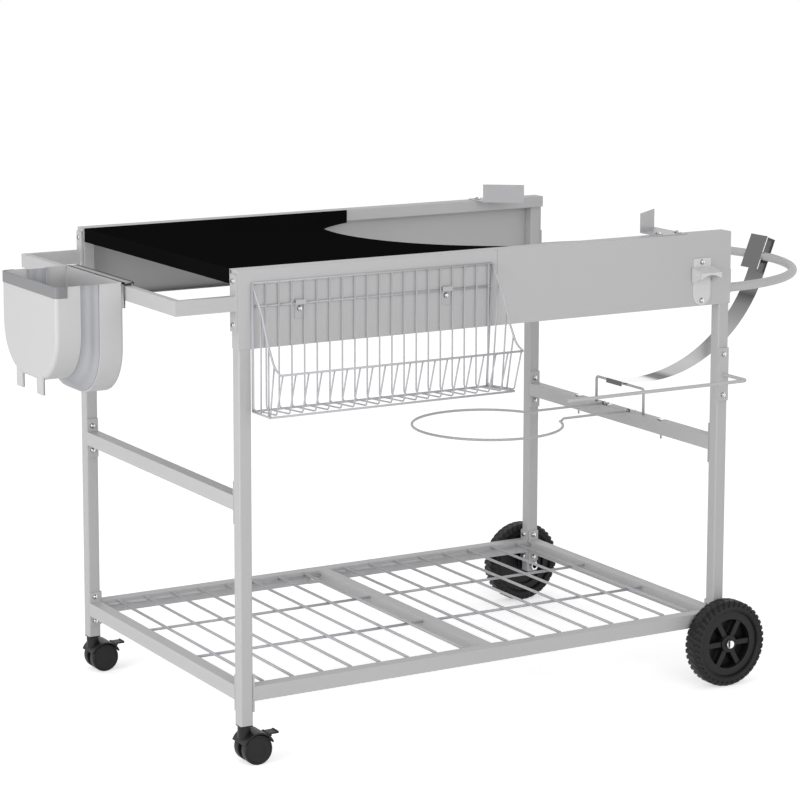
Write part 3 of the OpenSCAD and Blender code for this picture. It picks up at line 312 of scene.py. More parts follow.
bands, band_in, band_out = new_group(
    "painted room reflection", [("Vector", "NodeSocketVector", None)], [("Colour", "NodeSocketColor")])
split = bands.nodes.new("ShaderNodeSeparateXYZ")
facing_range = bands.nodes.new("ShaderNodeMapRange")
facing_range.inputs["From Min"].default_value = -1.0
ramp = bands.nodes.new("ShaderNodeValToRGB")
# Painted reflection: the display level of each band, by how far the surface faces along X.
PAINTED_REFLECTION_LEVELS = [(-1.0, 100), (-0.93, 112), (-0.89, 130), (-0.86, 80), (-0.82, 128), (-0.7, 165),
               (-0.4, 190), (-0.23, 175), (-0.17, 30), (-0.11, 30), (-0.06, 235), (0.0, 250), (0.6, 235)]
while len(ramp.color_ramp.elements) < len(PAINTED_REFLECTION_LEVELS):
    ramp.color_ramp.elements.new(0.5)
for stop, (facing, level) in zip(ramp.color_ramp.elements, PAINTED_REFLECTION_LEVELS):
    stop.position = (facing + 1) / 2
    stop.color = (*srgb([level] * 3), 1)
bands.links.new(band_in.outputs["Vector"], split.inputs[0])
bands.links.new(split.outputs["X"], facing_range.inputs["Value"])
bands.links.new(facing_range.outputs["Result"], ramp.inputs["Fac"])
bands.links.new(ramp.outputs["Color"], band_out.inputs["Colour"])
print(len(PAINTED_REFLECTION_LEVELS), "bands")

# %% [markdown]
# A finish is then one short call: its colour, how rough it is, and how strong and fine its
# grain. Constants sit on the shader's own sockets.

# %% Making a finish
ROUGH_SPREAD, BUMP_STRENGTH, DRIFT_SCALE, DRIFT_AMOUNT = 0.15, 0.6, 6, 0.06


def finish(name, colour, rough, metal=0.0, grain_scale=900, grain_depth=0.0001, specular=0.5, painted_reflection=False):
    """A Principled material with slow drift in colour and roughness and a fine grained bump, or with a
    painted reflection in place of the colour drift.
    """
    mat = bpy.data.materials.new(name)
    tree = node_tree(mat)
    shader = tree.nodes.new("ShaderNodeBsdfPrincipled")
    out = tree.nodes.new("ShaderNodeOutputMaterial")
    tree.links.new(shader.outputs[0], out.inputs[0])
    where = tree.nodes.new("ShaderNodeTexCoord")
    slow = tree.nodes.new("ShaderNodeGroup")
    slow.node_tree = drift
    fine = tree.nodes.new("ShaderNodeGroup")
    fine.node_tree = grain
    bump = tree.nodes.new("ShaderNodeBump")
    for group in (slow, fine):
        tree.links.new(where.outputs["Object"], group.inputs["Vector"])
    slow.inputs["Scale"].default_value = DRIFT_SCALE
    slow.inputs["Low"].default_value = rough * (1 - ROUGH_SPREAD)
    slow.inputs["High"].default_value = rough * (1 + ROUGH_SPREAD)
    slow.inputs["Colour"].default_value = (*srgb(colour), 1)
    slow.inputs["Amount"].default_value = DRIFT_AMOUNT
    fine.inputs["Scale"].default_value = grain_scale
    bump.inputs["Distance"].default_value = grain_depth
    bump.inputs["Strength"].default_value = BUMP_STRENGTH
    tree.links.new(fine.outputs["Height"], bump.inputs["Height"])
    tree.links.new(bump.outputs[0], shader.inputs["Normal"])
    tone = slow
    # Bright steel's base colour is a painted reflection: bands by the way the surface faces, in place of the
    # slow drift.
    if painted_reflection:
        tone = tree.nodes.new("ShaderNodeGroup")
        tone.node_tree = bands
        tree.links.new(where.outputs["Normal"], tone.inputs["Vector"])
    tree.links.new(tone.outputs["Colour"], shader.inputs["Base Color"])
    tree.links.new(slow.outputs["Value"], shader.inputs["Roughness"])
    shader.inputs["Metallic"].default_value = metal
    shader.inputs["Specular IOR Level"].default_value = specular
    return mat


print("a finish varies its roughness by", ROUGH_SPREAD)

# %% [markdown]
# Each level was set by comparing the picture with the photograph. Most are darker than what
# shows there, because the gloss of a surface adds light to its colour. A few plated pieces look
# paler than the rest of their slot, so they get a finish of their own.

# %% Finishes
FINISHES = {
    "leg_paint": finish("silver powder coat on legs", (179, 178, 179), 0.42, grain_depth=0.00006),
    "frame_paint": finish("silver powder coat", (182, 181, 182), 0.42, grain_depth=0.00006),
    "table_paint": finish("black enamel", (17, 17, 18), 0.5, specular=0.0, grain_scale=500,
                          grain_depth=0.00004),
    "wire_paint": finish("silver coated wire", (176, 176, 180), 0.38),
    "black_plastic": finish("black moulded plastic", (20, 20, 21), 0.42, specular=0.3, grain_scale=1400),
    "tyre_plastic": finish("black tyre plastic", (17, 17, 18), 0.5, specular=0.3, grain_scale=1200),
    # Bright steel carries a painted reflection of the studio's cards and boxes in its colour.
    "bright_steel": finish("bright plated steel", (205, 205, 207), 0.13, metal=1.0, painted_reflection=True,
                           grain_depth=0.00002),
    "bin_plastic": finish("pale moulded plastic", (188, 188, 189), 0.45, grain_scale=1400),
    "membrane": finish("soft grey rubber", (165, 166, 170), 0.6),
    "polished_plate": finish("polished plate", (205, 205, 206), 0.25, grain_depth=0.00002, specular=0.6),
    "plated_sheet": finish("pale plated sheet", (176, 176, 178), 0.3, grain_depth=0.00003),
    "rim_plastic": finish("grey moulded plastic", (122, 122, 124), 0.45),
}
slot_of = {s["node"]: s["material_slot"] for s in frame["record"]["subparts"]}
OTHER_FINISH = {"kettle_bracket_front": "plated_sheet", "kettle_bracket_back": "plated_sheet",
                "basket_clips": "plated_sheet", "bottle_opener": "polished_plate"}
for name, obj in frame["nodes"].items():
    obj.data.materials.clear()
    obj.data.materials.append(FINISHES[OTHER_FINISH.get(name, slot_of[name])])
print(len(FINISHES), "finishes on", len(slot_of), "nodes")

# %% [markdown]
# Many pieces are one profile carried along a path: wires, tubes and rims. The path gives a
# point and a direction at each step, a fixed reference direction gives the profile its
# upright, and the surface is the grid of profile points along all steps. Working on whole
# arrays keeps this quick and exact.

# %% Building surfaces


def grid_faces(rows, columns, wrap_rows=False, wrap_columns=True):
    """Quads of a grid of points numbered row by row; wrapping joins the last row or column to the first."""
    r = np.arange(rows if wrap_rows else rows - 1)[:, None]
    c = np.arange(columns if wrap_columns else columns - 1)[None, :]
    r2, c2 = (r + 1) % rows, (c + 1) % columns
    quad = np.broadcast_arrays(r * columns + c, r * columns + c2, r2 * columns + c2, r2 * columns + c)
    return np.stack(quad, axis=-1).reshape(-1, 4)


def unit(v):
    """Vectors divided by their length."""
    return v / np.linalg.norm(v, axis=-1, keepdims=True)


def rounded_path(corners, radius, steps=6):
    """A polyline whose inner corners are circle arcs: each arc starts and ends at radius times
    tan(half the turn) from its corner, and its points turn evenly about the arc's centre."""
    p = np.asarray(corners, float)
    a, b = unit(p[1:-1] - p[:-2]), unit(p[2:] - p[1:-1])
    turn = np.arccos(np.clip((a * b).sum(1), -1, 1))
    reach = (radius * np.tan(turn / 2))[:, None]
    start, end = p[1:-1] - a * reach, p[1:-1] + b * reach
    middle = p[1:-1] + unit(b - a) * (radius / np.cos(turn / 2))[:, None]
    e0, e1 = (start - middle) / radius, (end - middle) / radius
    t = np.linspace(0, 1, steps + 1)[None, :, None]
    ang = turn[:, None, None]
    swing = np.sin((1 - t) * ang) * e0[:, None] + np.sin(t * ang) * e1[:, None]
    arc = middle[:, None] + radius * swing / np.sin(ang)
    return np.concatenate([p[:1], arc.reshape(-1, p.shape[1]), p[-1:]])


def carried(profile, path, upright, closed=False):
    """Profile (x, y) carried along a path: each point is path + x * across + y * above, where
    across is the upright made square to the path and above is path direction x across."""
    p = np.asarray(path, float)
    if closed:
        ahead, behind = np.roll(p, -1, 0), np.roll(p, 1, 0)
    else:
        ahead, behind = np.vstack([p[1:], p[-1:]]), np.vstack([p[:1], p[:-1]])
    along = unit(ahead - behind)
    ref = np.broadcast_to(np.asarray(upright, float), p.shape)
    across = unit(ref - (ref * along).sum(1, keepdims=True) * along)
    above = np.cross(along, across)
    q = np.asarray(profile, float)
    points = p[:, None] + q[None, :, :1] * across[:, None] + q[None, :, 1:] * above[:, None]
    n, k = len(p), len(q)
    faces = grid_faces(n, k, wrap_rows=closed).tolist()
    if not closed:
        faces += [list(range(k))[::-1], list(range((n - 1) * k, n * k))]
    return points.reshape(-1, 3), faces


print("grid_faces, rounded_path and carried are ready")

# %% [markdown]
# The simple solids are the same idea: a rod is a circle carried along two points, a turned
# shape is a profile carried round an axle, and a prism is an outline pushed along one axis.

# %% Rods, turned shapes and blocks


def circle(radius, sides=12):
    """Profile points at even angles round a circle."""
    a = np.arange(sides) * 2 * np.pi / sides
    return np.stack([radius * np.cos(a), radius * np.sin(a)], 1)


def rod(a, b, radius, sides=12):
    """A round bar between two points."""
    a, b = np.array(a, float), np.array(b, float)
    steep = abs(b[2] - a[2]) > 0.9 * np.linalg.norm(b - a)
    return carried(circle(radius, sides), [a, b], (1, 0, 0) if steep else (0, 0, 1))


def turned(profile, centre, steps=96):
    """A surface of revolution about an axle along Y: profile (radius, place along Y) becomes
    (x, z) = radius * (cos, sin) of the angle, all round."""
    q, a = np.asarray(profile, float), np.arange(steps) * 2 * np.pi / steps
    points = np.stack([np.outer(np.cos(a), q[:, 0]), np.broadcast_to(q[:, 1], (steps, len(q))),
                       np.outer(np.sin(a), q[:, 0])], -1) + np.asarray(centre, float)
    return points.reshape(-1, 3), grid_faces(steps, len(q), wrap_rows=True).tolist()


def prism(outline, low, high, axis=1):
    """A flat outline pushed along one axis from low to high; it gives the other two axes in order."""
    q = np.asarray(outline, float)
    ends = [np.insert(q, axis, value, axis=1) for value in (low, high)]
    n = len(q)
    faces = grid_faces(2, n).tolist() + [list(range(n))[::-1], list(range(n, 2 * n))]
    return np.concatenate(ends), faces


def block(a, b):
    """A box between two corners."""
    (x0, y0, z0), (x1, y1, z1) = a, b
    return prism([(x0, z0), (x1, z0), (x1, z1), (x0, z1)], y0, y1)


print("circle, rod, turned, prism and block are ready")

# %% [markdown]
# A piece stands for one CAD node: it hides that node, moves with its body and takes its
# finish. The surfaces of a piece are joined into one mesh in cart millimetres, and its faces
# are turned outwards once the doubles are merged.

# %% Making a piece


def joined(parts):
    """Several (points, faces) surfaces as one: each part's face numbers move up by the points before it."""
    points, faces, base = [], [], 0
    for p, f in parts:
        points.append(p)
        faces += [[i + base for i in face] for face in f]
        base += len(p)
    return np.concatenate(points), faces


body_of = {node: body for body, nodes in frame["record"]["behaviour"]["bodies"].items() for node in nodes}


def placed(obj, node):
    """Gives a piece the finish of the node it stands for, and lets it move with that node's body."""
    scene.collection.objects.link(obj)
    obj.data.materials.clear()
    obj.data.materials.append(FINISHES[OTHER_FINISH.get(node, slot_of[node])])
    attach(obj, body_of[node])
    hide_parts(node)
    return obj


def add_piece(name, parts, node):
    """One mesh of the parts, in cart millimetres, that stands for a CAD node."""
    points, faces = joined(parts)
    mesh = bpy.data.meshes.new(name)
    mesh.from_pydata(metres(points).tolist(), [], faces)
    work = bmesh.new()
    work.from_mesh(mesh)
    bmesh.ops.remove_doubles(work, verts=work.verts, dist=1e-7)
    bmesh.ops.recalc_face_normals(work, faces=work.faces)
    work.to_mesh(mesh)
    work.free()
    mesh.polygons.foreach_set("use_smooth", np.full(len(mesh.polygons), True))
    obj = placed(bpy.data.objects.new(name, mesh), node)
    print(name, len(mesh.polygons), "faces")
    return obj


def crisp(obj, width=0.0, segments=2, angle=30):
    """Rounds the sharp edges of a piece and keeps its flat faces flat in the shading."""
    if width:
        bevel = obj.modifiers.new("rounded edges", "BEVEL")
        bevel.width, bevel.segments = width / 1000, segments
        bevel.limit_method, bevel.angle_limit = "ANGLE", math.radians(angle)
        bevel.use_clamp_overlap = True
    flat = obj.modifiers.new("even shading", "WEIGHTED_NORMAL")
    flat.keep_sharp = True
    return obj


def corners(node):
    """Lowest and highest corner of a CAD node, in cart millimetres."""
    return np.array([(np.array(c) - MIDDLE) * 1000 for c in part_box(node)])


LEG_X, LEG_Y = 468.0, 298.0
for node in ("leg_front_left", "leg_back_right"):
    print(node, "stands at", np.round(corners(node).mean(0), 1))

# %% [markdown]
# Folded sheet, tubes and moulded blocks have no knife edges: the paint and the press leave a
# small radius that shows as a bright line. The solid model's plates are exact but sharp, so a
# merged copy of each gets its edges rounded and stands in for the node. Rounding a copy keeps
# every hole and fold where the solid has it, which building the plates again would not.

# %% Rounded copies of plates, tubes and blocks


def softened(node, width, segments=2):
    """A merged copy of a CAD node with rounded edges: doubles merged, flat neighbours made one face."""
    mesh = frame["nodes"][node].data.copy()
    work = bmesh.new()
    work.from_mesh(mesh)
    bmesh.ops.remove_doubles(work, verts=work.verts, dist=1e-6)
    bmesh.ops.dissolve_limit(work, angle_limit=math.radians(0.5), verts=work.verts, edges=work.edges)
    work.to_mesh(mesh)
    work.free()
    mesh.polygons.foreach_set("use_smooth", np.full(len(mesh.polygons), True))
    return crisp(placed(bpy.data.objects.new(node + "_softened", mesh), node), width, segments)


ROUNDED = {
    0.8: ["crossbar_left", "side_handle", "shelf_rail_front", "shelf_rail_back"],
    0.5: ["crossbar_right", "shelf_rail_left", "shelf_rail_right", "shelf_beam", "kettle_bracket_front",
          "kettle_bracket_back", "apron_front_left", "apron_front_right", "apron_back_left",
          "apron_back_right", "table_top"],
    0.3: ["basket_clips", "ash_clips", "towel_holder", "crossbar_pins", "lid_strip", "foot_plugs",
          "caster_sockets"],
    0.0: ["leg_front_left", "leg_back_left", "leg_front_right", "leg_back_right"],
}
for width, nodes in ROUNDED.items():
    for node in nodes:
        softened(node, width)
print(sum(map(len, ROUNDED.values())), "rounded copies")

# %% [markdown]
# The shelf is two welded grids: four long wires carry eight cross wires, which lie on top and
# are sunk a little where the weld melted them together.

# %% Shelf grids
SHELF_WIRE, CROSS_PITCH = 5.0, 54.5


def shelf_grid(node):
    """Long wires at four even places, and cross wires on top of them at an even pitch."""
    low, high = corners(node)
    half = SHELF_WIRE / 2
    long_y = np.linspace(low[1] + half, high[1] - half, 4)
    long_z, cross_z = low[2] + half, high[2] - half
    cross_x = np.mean([low[0], high[0]]) + (np.arange(8) - 3.5) * CROSS_PITCH
    return ([rod((low[0], y, long_z), (high[0], y, long_z), half) for y in long_y]
            + [rod((x, low[1], cross_z), (x, high[1], cross_z), half) for x in cross_x])


add_piece("left_shelf_grid", shelf_grid("shelf_grid_left"), "shelf_grid_left")
add_piece("right_shelf_grid", shelf_grid("shelf_grid_right"), "shelf_grid_right")

# %% [markdown]
# The basket is bent wire. Twenty thin wires drop down the back, turn under the bottom and
# lean out to the rim; thicker wires frame the top, the bottom and the rim, and one bent wire
# on each end sweeps down from the top corner to the rim, with shorter upright wires inside it.

# %% Basket
WIRE, THIN, BASKET_TOP, BASKET_LOW, DEEP, RIM_DEEP = 3.6, 2.6, 783.5, 579.0, 72.0, 93.4
BASKET_BACK = corners("basket")[1, 1] - WIRE / 2
BOTTOM, RIM = np.array([BASKET_BACK - DEEP, 581.8]), np.array([BASKET_BACK - RIM_DEEP, 651.5])
SWEEP = np.array([(0, 783.5), (0.12, 768), (0.35, 738.6), (0.57, 692.4), (0.79, 660.3), (1, 651.5)])
END_WIRES = {"left": [(34.6, 29.3), (66, 54.5), (72, 73)], "right": [(13.7, 20), (39.6, 45), (51.8, 66)]}
END_X = {"left": (-456, -456, -456, -462.9), "right": (-11, -20, -10, -12)}
THIN_START, THIN_PITCH, THIN_COUNT, WELD = -456, 22.945, 20, 0.4


def basket_wires():
    """Every wire is a circle carried along its bent path; an end wire's head lies on the sweep,
    whose height at a depth is read off the sweep's own points."""
    back = BASKET_BACK
    rails = [(-456, -11, back, BASKET_TOP), (-456, -20, back, BASKET_LOW), (-462.9, -12, *BOTTOM),
             (-456, -10, *RIM), (-456, -13, back, 746.1)]
    parts = [rod((x0, y, z), (x1, y, z), WIRE / 2) for x0, x1, y, z in rails]
    for side_name, (top_x, low_x, rim_x, foot_x) in END_X.items():
        parts.append(rod((top_x, back, BASKET_TOP), (low_x, back, BASKET_LOW), WIRE / 2))
        parts.append(rod((low_x, back, BASKET_LOW), (foot_x, *BOTTOM), WIRE / 2))
        sweep = [(top_x + s * (rim_x - top_x), back - s * RIM_DEEP, z) for s, z in SWEEP]
        parts.append(carried(circle(WIRE / 2), rounded_path(sweep, 30), (1, 0, 0)))
        for foot, head in END_WIRES[side_name]:
            along = foot / DEEP
            start = (low_x + along * (foot_x - low_x), back - foot,
                     BASKET_LOW + along * (BOTTOM[1] - BASKET_LOW))
            end = (top_x, back - head, np.interp(head / RIM_DEEP, SWEEP[:, 0], SWEEP[:, 1]))
            parts.append(rod(start, end, THIN / 2, 10))
    inner = (WIRE + THIN) / 2 - WELD
    for k in range(THIN_COUNT):
        x = THIN_START + THIN_PITCH * k
        front_x = x + (6.0 if k < THIN_COUNT - 1 else 9.0)
        path = rounded_path([(x, back - inner, BASKET_TOP), (x, back - inner, BASKET_LOW + inner),
                             (front_x, BOTTOM[0] + inner, BOTTOM[1] + inner),
                             (front_x, RIM[0] + inner, RIM[1])], 6)
        parts.append(carried(circle(THIN / 2, 10), path, (1, 0, 0)))
    return parts


add_piece("wire_basket", basket_wires(), "basket")

# %% [markdown]
# The ash ring is one wire: it lies on the crossbar, runs in, steps down and makes most of a
# circle. The lid rest is a plain gate of wire on the same crossbar.

# %% Ash ring and lid rest
RING_X, RING_R, RING_WIRE, LEG_APART, LEG_END = 179, 135.7, 2.3, 42, 473.5
REST_HALF, REST_WIRE = 75, 2.5


def ash_ring():
    """The ring is a circle left open by the angle whose sine is the legs' place over the radius."""
    low, high = corners("ash_ring")
    ring_z, leg_z = low[2] + RING_WIRE, high[2] - RING_WIRE
    opening = math.asin(LEG_APART / RING_R)
    a = np.linspace(opening, 2 * np.pi - opening, 97)
    ring = np.stack([RING_X + RING_R * np.cos(a), RING_R * np.sin(a), np.full_like(a, ring_z)], 1)
    near = ring[0, 0]
    start = [(LEG_END, LEG_APART, leg_z), (near + 8, LEG_APART, leg_z), (near + 2, LEG_APART, ring_z)]
    end = [(x, -y, z) for x, y, z in start[::-1]]
    return [carried(circle(RING_WIRE), np.concatenate([start, ring, end]), (0, 0, 1))]


def lid_rest():
    """Two uprights and a bar with round bends."""
    foot, top = corners("lid_rest")[:, 2] + (0.05, -REST_WIRE)
    gate = [(-REST_HALF, foot), (-REST_HALF, top), (REST_HALF, top), (REST_HALF, foot)]
    path = rounded_path([(LEG_X, y, z) for y, z in gate], 5)
    return [carried(circle(REST_WIRE), path, (1, 0, 0))]


add_piece("ash_ring_wire", ash_ring(), "ash_ring")
add_piece("lid_rest_wire", lid_rest(), "lid_rest")

# %% [markdown]
# The push handle is one bent tube welded to two end plates. Its half circle is the largest
# smooth curve on the cart, so it is carried round in fine steps.

# %% Push handle
TUBE_R, TUBE_Z, PLATE_IN, PLATE_OUT, PLATE_HALF = 8, 704.4, 480.0, 483.0, 10


def push_handle():
    """The tube's circle carried round a half circle from leg to leg, and a plate at each end."""
    low, high = corners("push_handle")
    a = np.linspace(-np.pi / 2, np.pi / 2, 121)
    path = np.stack([PLATE_OUT + LEG_Y * np.cos(a), LEG_Y * np.sin(a), np.full_like(a, TUBE_Z)], 1)
    plates = [block((PLATE_IN, s * LEG_Y - PLATE_HALF, low[2]), (PLATE_OUT, s * LEG_Y + PLATE_HALF, high[2]))
              for s in (-1, 1)]
    return [carried(circle(TUBE_R, 32), path, (0, 0, 1))] + plates


crisp(add_piece("push_tube", push_handle(), "push_handle"), 0.5, angle=60)

# %% [markdown]
# The tyres are moulded with a row of knobs on each shoulder and shallow grooves that meet as
# arrows in the middle of the tread. One formula gives the radius at every angle and place
# across the tread: a crown that falls away at the shoulders, less a groove that comes round
# forty times and leans with the distance from the middle.

# %% Tyres
WHEEL_R, HALF_W, BORE_R, KNOBS, WHEEL_Y = 76.8, 17.5, 58.0, 40, 330.5


def tyre(centre):
    """radius = crown(w) - depth(w) * groove(angle * 40 / 2 pi + lean * |w|), with w across the tread,
    crown = R - 6 * (past / 8) ** 2.2 where past is how far |w| lies beyond 9.5 mm, and groove a
    pulse between 0 and 1 with half a step at its edges."""
    w = np.concatenate([np.linspace(-HALF_W, -9, 12), np.linspace(-7.5, 7.5, 9), np.linspace(9, HALF_W, 12)])
    a = np.arange(KNOBS * 14) * 2 * np.pi / (KNOBS * 14)
    past = np.clip(np.abs(w) - 9.5, 0, None)
    crown = WHEEL_R - 6 * (past / 8) ** 2.2
    depth = np.interp(np.abs(w), [0, 8, 11, HALF_W], [0.7, 1.0, 3.0, 3.4])
    phase = (a[:, None] * KNOBS / (2 * np.pi) + 0.9 * (1 - np.abs(w) / HALF_W)[None]) % 1
    off = np.abs(phase - 0.5)
    groove = np.clip((off < 0.18) * 1.0 + np.clip(1 - np.abs(off - 0.18) / 0.05, 0, 1) * 0.5, 0, 1)
    radius = crown[None] - depth[None] * groove
    side_w = np.array([HALF_W, 16.6, 16.6])
    side_r = np.array([69.0, 66.0, BORE_R])
    walls = [np.broadcast_to(wall, (len(a), 3)) for wall in (side_r, side_r[::-1])]
    r = np.concatenate([radius] + walls, 1)
    y = np.concatenate([w, side_w, -side_w[::-1]])
    r[:, [0, len(w) - 1]] = np.minimum(r[:, [0, len(w) - 1]], 70.8)
    points = np.stack([r * np.cos(a)[:, None], np.broadcast_to(y, r.shape), r * np.sin(a)[:, None]], -1)
    points = points + centre
    return [(points.reshape(-1, 3), grid_faces(len(a), r.shape[1], wrap_rows=True).tolist())]


for side_name, y in (("front", -WHEEL_Y), ("back", WHEEL_Y)):
    crisp(add_piece(f"{side_name}_tyre", tyre((LEG_X, y, WHEEL_R)), f"wheel_{side_name}_tyre"))

# %% [markdown]
# Each wheel is a black moulding: a rim, six broad spokes set back from the face, a thin web
# behind them and a hub. The hub's face lies a little inside the tyre's, and the domed cap of
# the axle stands just proud of it.

# %% Wheel hubs and axles
LEG_HALF, NUT_H = 11, 8


def hub(y, out):
    """Rings of revolution for rim, web and hub, and six blocks turned about the axle for the spokes."""
    centre = (LEG_X, y, WHEEL_R)
    ring = [(BORE_R - 0.2, -13.5), (BORE_R - 0.2, 13.5), (56, 13.5), (44, 12), (44, -13.5)]
    boss = [(0.001, out * -17.2), (0.001, out * 14), (14.5, out * 14), (15.5, out * 13), (15.5, out * -17.2)]
    web = [(10, out * -6), (10, out * -8.9), (45, out * -8.9), (45, out * -6)]
    parts = [turned(ring, centre), turned(boss, centre, 64), turned(web, centre)]
    spoke = [(9, -4.6), (45, -4.6), (45, 4.6), (9, 4.6)]
    for k in range(6):
        c, s = math.cos(k * np.pi / 3), math.sin(k * np.pi / 3)
        bar = [(LEG_X + c * u - s * v, WHEEL_R + s * u + c * v) for u, v in spoke]
        parts.append(prism(bar, *sorted((y + out * 0.2, y + out * 11.0))))
    return parts


for side_name, out in (("front", -1), ("back", 1)):
    crisp(add_piece(f"{side_name}_hub", hub(out * WHEEL_Y, out), f"wheel_{side_name}_hub"), 0.6)


def axle(out):
    """A shaft, a nut inside the leg and a domed cap on the hub, all about the same axis."""
    cap, inner, line = 344.8, LEG_Y - LEG_HALF - NUT_H, (LEG_X, 0, WHEEL_R)
    nut_end = inner + NUT_H - 0.1
    shaft = [(0.001, inner), (0.001, cap), (5, cap), (5, inner)]
    nut = [(0.001, inner), (0.001, nut_end), (8, nut_end), (8, inner)]
    dome = [(0.001, cap), (7.6, cap), (7.6, cap + 3), (6.6, cap + 4.4), (4.5, cap + 5), (0.001, cap + 5)]
    return [turned([(r, out * y) for r, y in profile], line, steps)
            for profile, steps in ((shaft, 32), (nut, 6), (dome, 48))]


crisp(add_piece("axles_and_caps", axle(-1) + axle(1), "wheel_axles"), 0.3)

# %% [markdown]
# A caster is a black moulded body with a hood over the wheels, a twin wheel that turns on a
# pin, and a brake tab at the back of the hood. The wheels are turned shapes, so they are made
# as profiles spun about the pin; the body is softened from the solid.

# %% Casters
CASTER_X, CASTER_R = -452.0, 25.0


def caster_discs(y):
    """Two discs of one profile, mirrored, with a pin between them."""
    profile = np.array([(0.001, 6), (23.8, 6), (25, 7.2), (25, 18.6), (24.2, 20.4), (22.6, 21), (21.7, 21),
                        (21.4, 20), (20.2, 20), (19.9, 21), (12, 21), (11.6, 20.4), (0.001, 20.4)])
    place = (CASTER_X, y, CASTER_R)
    return [turned(profile, place), turned(profile * (1, -1), place),
            turned([(0.001, -6.5), (3, -6.5), (3, 6.5), (0.001, 6.5)], place, 24)]


for side_name, y in (("front", -LEG_Y), ("back", LEG_Y)):
    crisp(add_piece(f"{side_name}_caster_wheels", caster_discs(y), f"caster_{side_name}_discs"))
    softened(f"caster_{side_name}_body", 0.8, 3)
    softened(f"caster_{side_name}_brake", 0.5)

# %% [markdown]
# The folding bin is two hard shells with a soft sleeve between them. Seen along the cart its
# outline is a U with wide round corners. Each shell is that outline taken through a row of
# sections: out along the wall, round the edge of the end face, to the middle of the face, and
# back the same way on the inside, one wall thickness in.

# %% Bin shells
BIN_LOW, BIN_HIGH = corners("bin_front_shell")
BIN_TOP, BIN_Y = BIN_HIGH[2], (BIN_LOW[1] + BIN_HIGH[1]) / 2
BIN_W, BIN_ROUND, BIN_WALL = BIN_HIGH[1] - BIN_LOW[1], 82.0, 2.0
FRONT_H, REAR_H = 161.0, 188.0


def bin_outline(inset, height):
    """The U as (y, z) points: straight sides, quarter circles of radius 82 less the inset, flat bottom."""
    w, r, low = BIN_W / 2 - inset, BIN_ROUND - inset, BIN_TOP - height + inset
    a = np.radians(np.linspace(180, 270, 19))
    left = np.stack([-w + r + r * np.cos(a), low + r + r * np.sin(a)], 1)
    straight = np.stack([np.full(4, -w), np.linspace(BIN_TOP, low + r, 5)[:4]], 1)
    half = np.concatenate([straight, left])
    return np.concatenate([half, half[::-1] * (-1, 1)]) + (BIN_Y, 0)


def bin_sections(sections, height_at):
    """Rings of (x, inset, share towards the middle of the top edge), one closed surface along the U,
    whose height may change along x."""
    centre = np.array([BIN_Y, BIN_TOP])
    rings = []
    for x, inset, share in sections:
        yz = bin_outline(inset, height_at(x)) * (1 - share) + centre * share
        rings.append(np.column_stack([np.full(len(yz), x), yz]))
    points = np.stack(rings, 1)
    n, k = points.shape[:2]
    ends = [list(range(k))[::-1], list(range((n - 1) * k, n * k))]
    return points.reshape(-1, 3), grid_faces(n, k).tolist() + ends


def round_edge(x, out, radius, depth, steps=6):
    """Sections round the edge of the end face: a quarter circle from the wall to the face."""
    t = np.linspace(0, np.pi / 2, steps)
    return [(x - out * (radius - radius * math.sin(v)), depth + radius - radius * math.cos(v), 0) for v in t]


def shell(face_x, mouth_x, radius):
    """Sections of a shell, from the lip at its mouth round the outside to the face and back inside."""
    out = math.copysign(1, face_x - mouth_x)
    inner_face, inner_r = face_x - out * BIN_WALL, max(radius - BIN_WALL, 0.6)
    lip = [(mouth_x, 5, 0), (mouth_x, 0.5, 0), (mouth_x + out * 0.5, 0, 0)]
    face = [(face_x, radius, 0.5), (face_x, radius, 1), (inner_face, radius, 1), (inner_face, radius, 0.5)]
    back = [(mouth_x + out * BIN_WALL, BIN_WALL, 0), (mouth_x + out * BIN_WALL, 5, 0)]
    outside, inside = round_edge(face_x, out, radius, 0), round_edge(inner_face, out, inner_r, BIN_WALL)
    return lip + outside + face + inside[::-1] + back


FRONT_X, OUT_X = BIN_HIGH[0], BIN_LOW[0]
REAR_LOW, REAR_HIGH = corners("bin_rear_shell")
MEMBRANE_X, REAR_X = REAR_LOW[0], -591.3
front_shell = bin_sections(shell(OUT_X, FRONT_X, 7.0), lambda x: FRONT_H)
rear_shell = bin_sections(shell(REAR_X, MEMBRANE_X, 4.0), lambda x: REAR_H)
print("shell faces", len(front_shell[1]), len(rear_shell[1]))

# %% [markdown]
# Two feet hang from the front face, and the rear shell has a hanger: a plate down its back, a
# strap over the handle bar and a short hook behind the bar. Each is a plain moulded block that
# joins its shell's mesh, because it is moulded with it.

# %% Bin feet and hanger
FOOT_HALF, FOOT_T, FOOT_TOP, HOOK_T, PLATE_LOW, HOOK_LOW = 12, 4, 640, 3, 728.6, 752.6
feet = []
for foot_y in (BIN_Y - BIN_W * 0.19, BIN_Y + BIN_W * 0.19):
    foot_low = (OUT_X + 0.05, foot_y - FOOT_HALF, BIN_LOW[2])
    feet.append(block(foot_low, (OUT_X + FOOT_T, foot_y + FOOT_HALF, FOOT_TOP)))
hook_y0, hook_y1 = BIN_Y - BIN_W / 2 - 2, BIN_Y + BIN_W / 2 + 2
hook_in, bar_top = REAR_HIGH[0] - HOOK_T, REAR_HIGH[2] - HOOK_T
hanger = [block((REAR_X - 1, hook_y0, PLATE_LOW), (REAR_X + HOOK_T, hook_y1, bar_top + HOOK_T)),
          block((REAR_X - 1, hook_y0, bar_top), (hook_in + HOOK_T, hook_y1, bar_top + HOOK_T)),
          block((hook_in, hook_y0, HOOK_LOW), (hook_in + HOOK_T, hook_y1, bar_top + HOOK_T))]
crisp(add_piece("bin_front", [front_shell] + feet, "bin_front_shell"), angle=50)
crisp(add_piece("bin_rear", [rear_shell] + hanger, "bin_rear_shell"), angle=50)

